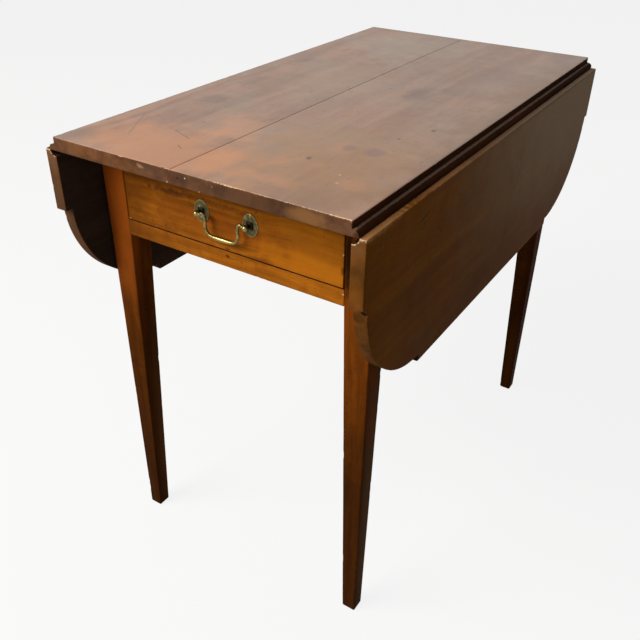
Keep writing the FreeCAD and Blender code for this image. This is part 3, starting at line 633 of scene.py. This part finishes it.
# Top boards
# A section of the board is carried along Y. The section runs along the top, down the fillet, round
# the quarter round and back along the underside, where the hinges' seats are let in.
topBoards = dict(
    filletHeight=9.5, pivotRise=1.0, roundRadius=8.5, coveRadius=9.0, topEase=0.9,
    jointEase=0.8, jointGap=0.3, endEase=1.5, cornerEase=2.0, lowEase=0.6,
    hingeSpan=560.0, hingeWidth=38.0, seatReach=32.0, seatDepth=2.0, seatRoof=4.0,
    barrelRoom=3.0, roomDepth=2.5, roomSide=0.5, filletBand=12.0, endBand=14.0,
    pitch=4.0, alongPitch=6.0, underPitch=16.0, endShrink=0.72,
    chipLength=3.6, chipFrom=0.68, chipReach=1.5, chipDepth=0.6, chipSeed=11,
    rubCoarse=16.0, rubFine=5.0, rubSeed=14, paleFrom=10.0, paleTo=60.0, cornerWear=3.0,
    wave=0.12, waveLength=90.0, waveSeed=16,
)
halfSpan = topBoards["hingeSpan"] / 2
halfHinge = topBoards["hingeWidth"] / 2
hingeEnds = doubled([halfSpan - halfHinge, halfSpan + halfHinge])


def topBoard(node, side):
    look = topBoards
    low, high = nodeBox(node)
    radius = look["roundRadius"]
    outer = max(side * low[0], side * high[0])
    joint = min(side * low[0], side * high[0]) + look["jointGap"]
    fillet = outer - radius
    top, under, end = high[2], low[2], high[1]
    pivot = under + look["pivotRise"]
    ease, jointEase = look["topEase"], look["jointEase"]
    turn = np.linspace(math.pi / 2, 0, 5)
    shoulder = top - look["filletHeight"]
    ovolo = np.linspace(math.pi / 2, 0, 11)
    across = stops([joint + jointEase, fillet - look["filletBand"], fillet - ease], look["pitch"])
    seatEdge = fillet - look["seatReach"]
    roomEdge = fillet - look["barrelRoom"]
    below = [outer, *doubled([roomEdge])[::-1], *doubled([seatEdge])[::-1], joint]
    below = stops(below, look["underPitch"])
    sectionX = np.concatenate([
        across, fillet - ease + ease * np.cos(turn)[1:],
        [fillet] * 3, fillet + radius * np.cos(ovolo), below, [joint, joint],
        joint + jointEase - jointEase * np.cos(turn[::-1])[:-1]])
    sectionZ = np.concatenate([
        np.full(len(across), top), top - ease + ease * np.sin(turn)[1:],
        [top - 3.0, top - 6.0, shoulder + 0.6], pivot + radius * np.sin(ovolo), np.full(len(below), under),
        [under + 5.0, top - 6.0], top - jointEase + jointEase * np.sin(turn[::-1])[:-1]])
    halfRoom = halfHinge + look["roomSide"]
    marks = sorted(hingeEnds + doubled([halfSpan - halfRoom, halfSpan + halfRoom]))
    endMarks = [end - back for back in (look["endBand"], look["endEase"], 0.9, 0.35, 0.08, 0.0)]
    along = bothWays(stops([0.0, *marks, *endMarks], look["alongPitch"]))
    x, y = np.meshgrid(sectionX, along)
    z = np.broadcast_to(sectionZ, x.shape).copy()
    # the underside rises into the hinge seats and the room for the barrels
    fromHinge = np.abs(np.abs(y) - halfSpan)
    seat = (x > seatEdge) & (fromHinge < halfHinge)
    room = (x > roomEdge) & (fromHinge < halfRoom)
    ceiling = np.where(room, under + look["roomDepth"], np.where(seat, under + look["seatDepth"], under))
    z = np.maximum(z, np.where(z < pivot + look["seatRoof"], ceiling, under))
    # end arrises: the top falls and the underside rises by a quarter round near both ends
    fromEnd = end - np.abs(y)
    upper = easeStep(z, top - 6.0, top - 0.5)
    lower = easeStep(z, under + 3.0, under + 0.3)
    z = z - upper * roundOver(fromEnd, look["endEase"]) + lower * roundOver(fromEnd, look["lowEase"])
    nearFillet = easeStep(x, fillet - 6.0, fillet) * easeStep(z, shoulder - 1.0, shoulder + 1.0)
    x = x - nearFillet * roundOver(fromEnd, look["cornerEase"])
    points = joined(side * x, y, z)
    # chips and bare wood along the end arris and the fillet's arris
    endArris = np.hypot(fromEnd, top - z)
    sideArris = np.hypot(np.abs(fillet - x), top - z)
    chips = chipField(points, np.minimum(endArris, sideArris), look, look["chipSeed"])
    frontPale = np.where(y < 0, 0.2 + 0.8 * easeStep(side * x, look["paleFrom"], look["paleTo"]), 0.4)
    rub = rubField(points, look, look["rubSeed"])
    wear = np.maximum(np.exp(-endArris / 1.0) * frontPale * (0.35 + rub), chips * 0.5)
    wear = np.maximum(wear, np.exp(-sideArris / 0.9) * 0.4 * rub)
    corner = np.sqrt(fromEnd ** 2 + (fillet - x) ** 2 + (top - z) ** 2)
    wear = np.maximum(wear, np.exp(-corner / look["cornerWear"]) * (0.45 + 0.4 * side) * (0.3 + rub))
    points[..., 2] -= chips * look["chipDepth"] * easeStep(z, top - 8.0, top - 3.0)
    points[..., 1] -= np.sign(y) * chips * look["chipDepth"] * np.exp(-endArris / 4.0)
    wave = look["wave"] * latticeNoise(points, look["waveLength"], look["waveSeed"])
    points[..., 2] -= wave * (z > top - 0.5)
    points, wear = closeEnds(points, wear, 2, (top + under) / 2, look["endShrink"])
    dress(node, "frame", points, [topWood, endWood, underWood, shadedEdgeWood],
          boardFaces(fillet, top), wear)


topBoard("top_board_left", -1)
topBoard("top_board_right", 1)
print("top boards made")

# Leaves
# Rings run from the coved edge to the free edge of the raised leaf. Each ring is a long thin loop:
# along the show face, round one end, back along the underside, round the other end. The end
# follows the outline, straight, then stepped, then a quarter round, then stepped again.
leaves = dict(
    gap=0.5, cornerRadius=154.0, cornerStep=11.0, ease=1.3, lowEase=0.8, edgeEase=1.0,
    seatReach=62.0, seatDepth=2.0, pitch=5.0, backPitch=24.0, acrossPitch=4.0, slit=0.12,
    chipLength=5.0, chipFrom=0.67, chipReach=1.7, chipDepth=0.8, rightSeed=31,
    leftSeed=37, rubCoarse=18.0, rubFine=5.0, rubSeed=33, cornerWear=3.5, endShrink=0.6,
)


# Outline of one end: distance from the hinge axis, half length there, and the outward direction.
def leafEnd(reach, half):
    look = leaves
    radius, step, slit = look["cornerRadius"], look["cornerStep"], look["slit"]
    start = reach - step - radius
    centre = half - step - radius
    cove = topBoards["coveRadius"]
    inner = [look["gap"] + further for further in (0.0, 0.1, 0.4, look["edgeEase"])]
    coveStops = cove * np.sin(np.radians([14, 24, 34, 45, 56, 67, 77, 85, 90]))
    seat = doubled([look["seatReach"]])
    straight = np.concatenate([inner, coveStops, stops([cove + slit, *seat, start], look["acrossPitch"])])
    turn = np.linspace(0, math.pi / 2, int(radius * math.pi / 2 / look["acrossPitch"]))
    last = stops([reach - step + slit, reach - look["edgeEase"]], look["acrossPitch"])
    last = np.concatenate([last, [reach - 0.45, reach - 0.12, reach]])
    across = np.concatenate([straight, start + slit + radius * np.sin(turn), last])

    def runs(first, middle, final):
        return np.concatenate([np.full(len(straight), first), middle, np.full(len(last), final)])[:, None]

    length = runs(half, centre + radius * np.cos(turn), centre)
    return across[:, None], length, runs(0.0, np.sin(turn), 0.0), runs(1.0, np.cos(turn), 1.0)


# End grain on the ends, raw wood on the inner face, raw wood as painted shade in the lower steps,
# dark shaded wood as painted shade in the cove, show wood elsewhere.
def leafFaces(side, lowest, fillet, pivot):
    def pick(place, normal):
        fromAxis = np.hypot(side * place[:, 0] - fillet, place[:, 2] - pivot)
        kind = np.where(side * normal[:, 0] < -0.75, rawFace, showFace)
        kind = np.where(fromAxis < topBoards["coveRadius"] + 0.3, jointFace, kind)
        ends = np.where(place[:, 2] < lowest + leaves["cornerStep"], rawFace, endFace)
        return np.where(np.abs(normal[:, 1]) > 0.5, ends, kind)
    return pick


def makeLeaf(node, side):
    look = leaves
    low, high = nodeBox(node)
    boardLow, boardHigh = nodeBox("top_board_right")
    under, top = boardLow[2], boardHigh[2]
    pivot = under + topBoards["pivotRise"]
    fillet = boardHigh[0] - topBoards["roundRadius"]
    cove = topBoards["coveRadius"]
    reach, half = pivot - low[2], high[1]
    across, length, outX, outY = leafEnd(reach, half)
    edgeEase = look["edgeEase"]
    topZ = top - roundOver(across - look["gap"], edgeEase) - roundOver(reach - across, edgeEase)
    lowZ = np.where(across <= cove, pivot + np.sqrt(np.maximum(cove ** 2 - across ** 2, 0)), under)
    lowZ = lowZ + roundOver(reach - across, look["lowEase"])
    # stops along the leaf, with the seats' borders among them
    ease, lowEase = look["ease"], look["lowEase"]
    show = bothWays(stops([0.0, half - ease], look["pitch"])) / (half - ease)
    back = bothWays(stops([0.0, *sorted(hingeEnds), half - ease], look["backPitch"])) / (half - ease)
    # end profile: quarter round at the show face, flat, smaller round at the underside
    turn = np.linspace(math.pi / 2, 0, 5)[1:]
    inset = np.concatenate([ease * (1 - np.cos(turn)), np.zeros(3), lowEase * (1 - np.cos(turn[::-1]))])
    fall = np.concatenate([ease * (1 - np.sin(turn)), np.zeros(7)])
    lift = np.concatenate([np.zeros(7), lowEase * (1 - np.sin(turn[::-1]))])
    share = np.concatenate([np.zeros(4), [0.25, 0.5, 0.75], np.ones(4)])

    def flatRow(spread, level):
        drawnIn = np.abs(spread) ** 8 * ease
        return joined(across - outX * drawnIn, spread * (length - outY * ease), level)

    def endRow(direction):
        level = (topZ - fall) * (1 - share) + (lowZ + lift) * share
        row = joined(across - outX * inset, direction * (length - outY * inset), level)
        return row if direction > 0 else row[:, ::-1]

    rows = [flatRow(show[None], topZ), endRow(1), flatRow(back[None, ::-1], lowZ), endRow(-1)]
    rings = np.concatenate(rows, axis=1)
    w, y, z = rings[..., 0], rings[..., 1], rings[..., 2]
    seat = (w < look["seatReach"]) & (np.abs(np.abs(y) - halfSpan) < halfHinge)
    seat &= z < pivot + topBoards["seatRoof"]
    z = np.where(seat, np.maximum(z, under + look["seatDepth"]), z)
    # chips and bare wood near the show face's arrises
    fromEnd = np.maximum((length - np.abs(y)) * np.maximum(outY, 0.3), 0)
    rim = np.minimum(np.minimum(fromEnd, reach - w), np.maximum(w - look["gap"], 0))
    arris = np.hypot(rim, topZ - z)
    lowArris = np.hypot(np.minimum(fromEnd, reach - w), z - lowZ)
    points = joined(w, y, z)
    seed = look["rightSeed"] if side > 0 else look["leftSeed"]
    chips = chipField(points, np.minimum(arris, lowArris + 1.0), look, seed)
    rub = rubField(points, look, look["rubSeed"])
    wear = np.maximum(np.exp(-arris / 0.9) * 0.4 * rub, chips * 0.5)
    corner = np.hypot(fromEnd, np.maximum(w - look["gap"], 0))
    wear = np.maximum(wear, np.exp(-corner / look["cornerWear"]) * (0.2 + 0.7 * rub))
    z = z - chips * look["chipDepth"] * np.exp(-arris / 4.0)
    w = w - chips * look["chipDepth"] * outX * 0.7
    y = y - np.sign(y) * chips * look["chipDepth"] * outY * np.exp(-fromEnd / 4.0) * 0.7
    # hanging: what was up now points outwards, what was outwards points down
    hung = joined(side * (fillet + z - pivot), y, pivot - w)
    middle = side * (fillet + (topZ[[0, -1]] + lowZ[[0, -1]]) / 2 - pivot)
    hung, wear = closeEnds(hung, wear, 0, middle, look["endShrink"])
    dress(node, node, hung, [leafWood, leafEndWood, underWood, shadedEdgeWood],
          leafFaces(side, low[2], fillet, pivot), wear)


makeLeaf("right_leaf", 1)
makeLeaf("left_leaf", -1)
print("leaves made")


# Loop of a rectangle with rounded corners. On each side a point lies at ease + (size - 2 ease) * share
# + ease * way, where share is its place along the side and way its direction on the corner's round.
def cornerLoop(sizeA, sizeB, ease, flats, arc):
    corners = np.array([(0, 0), (1, 0), (1, 1), (0, 1)], float)
    shares, ways = [], []
    for index, corner in enumerate(corners):
        turn = np.radians(np.linspace(180, 270, arc) + 90 * index)
        run = np.linspace(0, 1, flats[index % 2] + 2)[1:-1, None]
        shares += [corner[None]] * arc + [corner + (corners[(index + 1) % 4] - corner) * run]
        way = np.stack([np.cos(turn), np.sin(turn)], axis=1)
        ways += [way] + [way[-1:]] * len(run)
    share, way = np.concatenate(shares).T, np.concatenate(ways).T
    return [ease + (size - 2 * ease) * share[k:k + 1] + ease * way[k:k + 1]
            for k, size in enumerate((sizeA, sizeB))]


# Distance of a point on such a loop from the nearest worn corner, across the two sides that meet there.
def cornerDistance(a, b, sizeA, sizeB, ease):
    return np.maximum(np.hypot(np.minimum(a, sizeA - a), np.minimum(b, sizeB - b)) - ease * 0.42, 0)


# Legs
# A square section with worn corners is carried up Z; it is full size above the taper and shrinks
# evenly to the foot, with the two outer faces staying upright.
legs = dict(
    footSize=22.5, taperFrom=562.0, ease=1.7, footEase=4.0, pitch=6.0, flats=(6, 6), arc=5,
    chipLength=9.0, chipFrom=0.68, chipReach=2.0, chipDepth=0.7, rubCoarse=22.0, rubFine=6.0,
    wander=0.3, wanderLength=60.0, scuff=0.25, scuffReach=30.0,
)


def makeLeg(node, sideX, sideY, seed):
    look = legs
    low, high = nodeBox(node)
    full = high[0] - low[0]
    height = [0.0, 0.15, 0.6, 1.4, 2.5, look["footEase"], look["taperFrom"], high[2]]
    height = stops(height, look["pitch"])[:, None]
    size = look["footSize"] + (full - look["footSize"]) * np.clip(height / look["taperFrom"], 0, 1)
    ease = look["ease"]
    a, b = cornerLoop(size, size, ease, look["flats"], look["arc"])
    z = np.broadcast_to(height, a.shape)
    outerX = max(abs(low[0]), abs(high[0]))
    outerY = max(abs(low[1]), abs(high[1]))
    points = joined(sideX * (outerX - a), sideY * (outerY - b), z)
    arris = cornerDistance(a, b, size, size, ease)
    chips = chipField(points, arris, look, seed) * easeStep(high[2] - z, 20.0, 60.0)
    wander = (latticeNoise(points, look["wanderLength"], seed + 4) - 0.5) * look["wander"]
    middle = size / 2
    keep = 1 - roundOver(z, look["footEase"]) / middle
    bite = chips * look["chipDepth"] * 0.7 + np.maximum(wander, 0)
    a = middle + (a + np.sign(middle - a) * bite - middle) * keep
    b = middle + (b + np.sign(middle - b) * bite - middle) * keep
    points = joined(sideX * (outerX - a), sideY * (outerY - b), z)
    scuff = np.exp(-z / look["scuffReach"]) * look["scuff"]
    rub = rubField(points, look, seed + 2)
    wear = np.maximum(np.exp(-arris / 0.9) * (0.3 + scuff) * rub, chips * 0.45)
    dress(node, "frame", points, [legWood], None, wear)


for index, (node, sideX, sideY) in enumerate([("front_left_leg", -1, -1), ("front_right_leg", 1, -1),
                                              ("back_left_leg", -1, 1), ("back_right_leg", 1, 1)]):
    makeLeg(node, sideX, sideY, 50 + 10 * index)
print("legs made")

# Drawer front and drawer rail
# A rectangle with worn corners is carried along X; chips bite its front arrises.
fronts = dict(
    drawer_front=dict(
        ease=1.0, endGap=0.9, lowGap=1.1, material=drawerWood, body="drawer",
        slot="drawer_front_wood", seed=101, rubbed=0.2, chipReach=1.8, chipDepth=0.7),
    drawer_rail=dict(
        ease=0.9, endGap=0.0, lowGap=0.0, material=railWood, body="frame",
        slot="rail_wood", seed=111, rubbed=0.3, chipReach=1.6, chipDepth=0.6),
    both=dict(
        chipLength=6.0, chipFrom=0.66, rubCoarse=14.0, rubFine=5.0, pitch=4.0,
        flats=(4, 14), arc=5),
)


# Upper and lower faces take the dark shaded wood.
def upperOrLowerFace(place, normal):
    return np.abs(normal[:, 2]) > 0.75


def makeFront(node, halfLength):
    look = {**fronts["both"], **fronts[node]}
    low, high = nodeBox(node)
    low[2] += look["lowGap"]
    end = halfLength - look["endGap"]
    x = bothWays(stops([0.0, end - 6.0, end - 0.9, end - 0.3, end], look["pitch"]))[:, None]
    depth, tall = high[1] - low[1], high[2] - low[2]
    ease, seed = look["ease"], look["seed"]
    a, b = cornerLoop(depth, tall, ease, look["flats"], look["arc"])
    points = joined(x, low[1] + a, low[2] + b)
    front = np.exp(-a / 6.0)
    fromEnd = end - np.abs(x)
    arris = np.minimum(cornerDistance(a, b, depth, tall, ease), np.hypot(fromEnd, a))
    chips = chipField(points, arris, look, seed) * front
    rub = rubField(points, look, seed + 2)
    wear = np.maximum(np.exp(-arris / 0.9) * look["rubbed"] * rub * front * 1.5, chips * 0.45)
    shrink = roundOver(fromEnd, 0.8)
    a = a + np.sign(depth / 2 - a) * (chips * look["chipDepth"] * 0.7 + shrink)
    b = b + np.sign(tall / 2 - b) * (chips * look["chipDepth"] * 0.5 + shrink)
    points = joined(x, low[1] + a, low[2] + b)
    dress(node, look["body"], points, [look["material"], shadedEdgeWood], upperOrLowerFace, wear)


makeFront("drawer_front", nodeBox("drawer_front")[1][0])
makeFront("drawer_rail", nodeBox("front_right_leg")[0][0])
print("drawer front and rail made")

# Bail pull
pull = dict(
    around=40, rosetteAround=72, rosetteWidth=24.5, postShadeRadius=6.4, tube=2.2, grip=3.2,
    gripHalf=18.0, arm=2.5, ball=4.6, barFrom=24.0, barTo=27.0, armFrom=33.0, armTo=37.0, pathSteps=10,
    path=[(37.6, 0.0), (34.8, 0.5), (31.6, 2.2), (28.6, 0.6), (26.9, -4.0), (26.6, -8.5), (27.2, -13.0),
          (27.0, -17.0), (25.7, -20.8), (23.0, -24.0), (19.0, -26.4), (13.5, -27.4), (7.0, -27.5),
          (0.0, -27.5)],
    postProfile=[(-23.5, 2.4), (0.0, 2.4), (1.3, 2.4), (1.4, 5.2), (2.0, 5.3), (2.5, 4.6), (3.0, 3.3),
                 (4.2, 2.6), (5.6, 2.5), (6.6, 2.9)],
    rosetteProfile=[(1.0, 0.0), (1.0, 0.55), (0.985, 0.85), (0.95, 1.05), (0.915, 1.0), (0.89, 0.8),
                    (0.86, 0.78), (0.82, 0.95), (0.7, 1.15), (0.5, 1.3), (0.36, 1.35), (0.3, 1.4)],
)


# Both columns of a list of pairs.
def columns(pairs):
    return (np.array(column)[:, None] for column in zip(*pairs))


# Rings of a turned piece: circles about an axis along Y, one for each step of the profile.
def turned(profile, centre, outY, around):
    turn = fullTurn(around)
    out, radius = columns(profile)
    return joined(centre[0] + radius * np.cos(turn), outY - out, centre[1] + radius * np.sin(turn))


# Smooth curve through points: each stretch is a cubic with slopes from its neighbours.
def smoothThrough(points, each):
    points = np.asarray(points, float)
    padded = np.concatenate([2 * points[:1] - points[1:2], points, 2 * points[-1:] - points[-2:-1]])
    p0, p1, p2, p3 = (padded[i:len(padded) - 3 + i, None] for i in range(4))
    t = np.linspace(0, 1, each, endpoint=False)[None, :, None]
    curve = 0.5 * (2 * p1 + (p2 - p0) * t + (2 * p0 - 5 * p1 + 4 * p2 - p3) * t ** 2
                   + (3 * p1 - p0 - 3 * p2 + p3) * t ** 3)
    return np.concatenate([curve.reshape(-1, points.shape[1]), points[-1:]])


# Painted shade round the post: that ring of the rosette takes the dark brass.
def aroundPost(postX, level):
    def pick(place, normal):
        return np.hypot(place[:, 0] - postX, place[:, 2] - level) < pull["postShadeRadius"]
    return pick


# Oval dishes, turned posts with a ball, and a tube along a smooth path that swells at the grip.
def makePull():
    look = pull
    frontFace = nodeBox("drawer_front")[0][1]
    roseLow, roseHigh = nodeBox("pull_rosettes")
    bailLow, bailHigh = nodeBox("bail_handle")
    level = (roseLow[2] + roseHigh[2]) / 2
    axisY = (bailLow[1] + bailHigh[1]) / 2
    stand = frontFace - axisY
    wide, tall = look["rosetteWidth"] / 2, (roseHigh[2] - roseLow[2]) / 2
    postX = roseHigh[0] - wide
    turn = fullTurn(look["rosetteAround"])
    share, height = columns(look["rosetteProfile"])
    rimWear = np.exp(-((share - 0.96) / 0.03) ** 2) * 0.8
    ballTurn = np.linspace(-0.86, math.pi / 2 * 0.985, 14)
    ball = [(stand + look["ball"] * math.sin(t), look["ball"] * math.cos(t)) for t in ballTurn]
    for name, side in (("Left", -1), ("Right", 1)):
        x = side * postX
        ovalX = x + wide * share * np.cos(turn)
        oval = joined(ovalX, frontFace - height, level + tall * share * np.sin(turn))
        rosette = skin("Rosette" + name, oval, [rosetteBrass, postShadeBrass], aroundPost(x, level), rimWear)
        settle(rosette, "drawer", "pull_rosettes")
        rings = turned(look["postProfile"] + ball, (x, level), frontFace, look["around"])
        rubbed = easeStep(frontFace - rings[..., 1], stand - 2.0, stand + 2.0) * 0.85
        settle(skin("Post" + name, rings, [postShadeBrass], None, rubbed), "drawer", "pull_posts")
    right = smoothThrough(look["path"], look["pathSteps"])
    path = np.concatenate([right, right[-2::-1] * np.array([-1.0, 1.0])])
    slope = np.gradient(path, axis=0)
    slope /= np.linalg.norm(slope, axis=1, keepdims=True)
    normal = np.stack([-slope[:, 1], slope[:, 0]], axis=1)[:, None]
    onBar = easeStep(-path[:, 1], look["barFrom"], look["barTo"])
    swell = onBar * np.cos(np.clip(path[:, 0] / look["gripHalf"], -1, 1) * math.pi / 2) ** 1.2
    armEnd = easeStep(np.abs(path[:, 0]), look["armFrom"], look["armTo"])
    radius = look["tube"] + (look["grip"] - look["tube"]) * swell + (look["arm"] - look["tube"]) * armEnd
    turn = fullTurn(look["around"])
    radius = radius[:, None]
    x = path[:, :1] + radius * np.cos(turn) * normal[..., 0]
    z = path[:, 1:] + radius * np.cos(turn) * normal[..., 1]
    y = axisY + radius * np.sin(turn)
    rubbed = 0.35 + 0.5 * swell[:, None] + 0.2 * np.cos(turn)
    dress("bail_handle", "bail", joined(x, y, level + z), [brass], None, np.clip(rubbed, 0, 1))


makePull()
print("pull made")

# Studio: key light from the front left, in metres; camera at the photo's angle, with its spot in
# millimetres, its angles in degrees and its focal length in pixels.
studio = dict(
    floorSize=40.0, floorTone=(190, 188, 184), floorGlow=0.86, surround=0.24,
    keyPlace=(-1.5, -2.3, 2.5), keyAim=(0.0, -0.1, 0.45), keySize=2.4, keyPower=172.0,
)
camera = dict(
    spot=(578.4, -1049.0, 1054.0), azimuth=32.134, elevation=32.564, roll=0.938, focal=748.2,
    picture=640.0, sensor=36.0,
)


# Turn an object to three axes and set it at a place.
def aimed(holder, right, up, back, place):
    pose = np.eye(4)
    pose[:3] = np.stack([right, up, back, place], axis=1)
    holder.matrix_world = Matrix(pose.tolist())


# Camera axes: back from azimuth and elevation, right level with the floor, both turned by the roll.
def makeCamera():
    azimuth, elevation, roll = (math.radians(camera[k]) for k in ("azimuth", "elevation", "roll"))
    back = np.array([math.sin(azimuth) * math.cos(elevation), -math.cos(azimuth) * math.cos(elevation),
                     math.sin(elevation)])
    right = np.array([math.cos(azimuth), math.sin(azimuth), 0.0])
    up = np.cross(back, right)
    rolledRight = math.cos(roll) * right + math.sin(roll) * up
    rolledUp = math.cos(roll) * up - math.sin(roll) * right
    lens = bpy.data.cameras.new("photoCamera")
    lens.sensor_width = camera["sensor"]
    lens.lens = camera["sensor"] * camera["focal"] / camera["picture"]
    holder = linked("photoCamera", lens)
    aimed(holder, rolledRight, rolledUp, back, np.array(camera["spot"]) * mm)
    bpy.context.scene.camera = holder


# 1 for rays from the camera, reflected rays and rays through glass, 0 for all others.
def seenDirectly(tree):
    path = put(tree, "ShaderNodeLightPath", {}, {})
    seen = mathNode("MAXIMUM", path.outputs["Is Camera Ray"], path.outputs["Is Glossy Ray"])
    return mathNode("MAXIMUM", seen, path.outputs["Is Transmission Ray"])


# Floor and surroundings that look white but light the table softly, and a round key light.
def makeStudio():
    half = studio["floorSize"] / 2
    mesh = bpy.data.meshes.new("studioFloor")
    corners = [(-half, -half, 0), (half, -half, 0), (half, half, 0), (-half, half, 0)]
    mesh.from_pydata(corners, [], [(0, 1, 2, 3)])
    material, tree = newMaterial("studioFloor")
    plain = put(tree, "ShaderNodeBsdfDiffuse", {}, {"Color": tone(*studio["floorTone"])})
    glow = put(tree, "ShaderNodeEmission", {}, {"Color": (1, 1, 1, 1), "Strength": 1.0})
    share = mathNode("MULTIPLY", seenDirectly(tree), studio["floorGlow"])
    both = put(tree, "ShaderNodeMixShader", {}, {0: share, 1: plain.outputs[0], 2: glow.outputs[0]})
    put(tree, "ShaderNodeOutputMaterial", {}, {"Surface": both.outputs[0]})
    mesh.materials.append(material)
    linked("studioFloor", mesh)
    world = bpy.data.worlds.new("studio")
    world.use_nodes = True
    tree = world.node_tree
    tree.nodes.clear()
    rest = mathNode("MULTIPLY", seenDirectly(tree), 1.0 - studio["surround"])
    strength = mathNode("ADD", rest, studio["surround"])
    sky = put(tree, "ShaderNodeBackground", {}, {"Color": (1, 1, 1, 1), "Strength": strength})
    put(tree, "ShaderNodeOutputWorld", {}, {"Surface": sky.outputs[0]})
    bpy.context.scene.world = world
    lamp = bpy.data.lights.new("softKey", "AREA")
    lamp.shape = "DISK"
    lamp.size = studio["keySize"]
    lamp.energy = studio["keyPower"]
    place = np.array(studio["keyPlace"])
    aim = np.array(studio["keyAim"]) - place
    aim /= np.linalg.norm(aim)
    side = np.cross(aim, [0, 0, 1.0])
    side /= np.linalg.norm(side)
    aimed(linked("softKey", lamp), side, np.cross(side, aim), -aim, place)
    bpy.context.scene.view_settings.view_transform = "Standard"


makeCamera()
makeStudio()
print("studio and camera set")
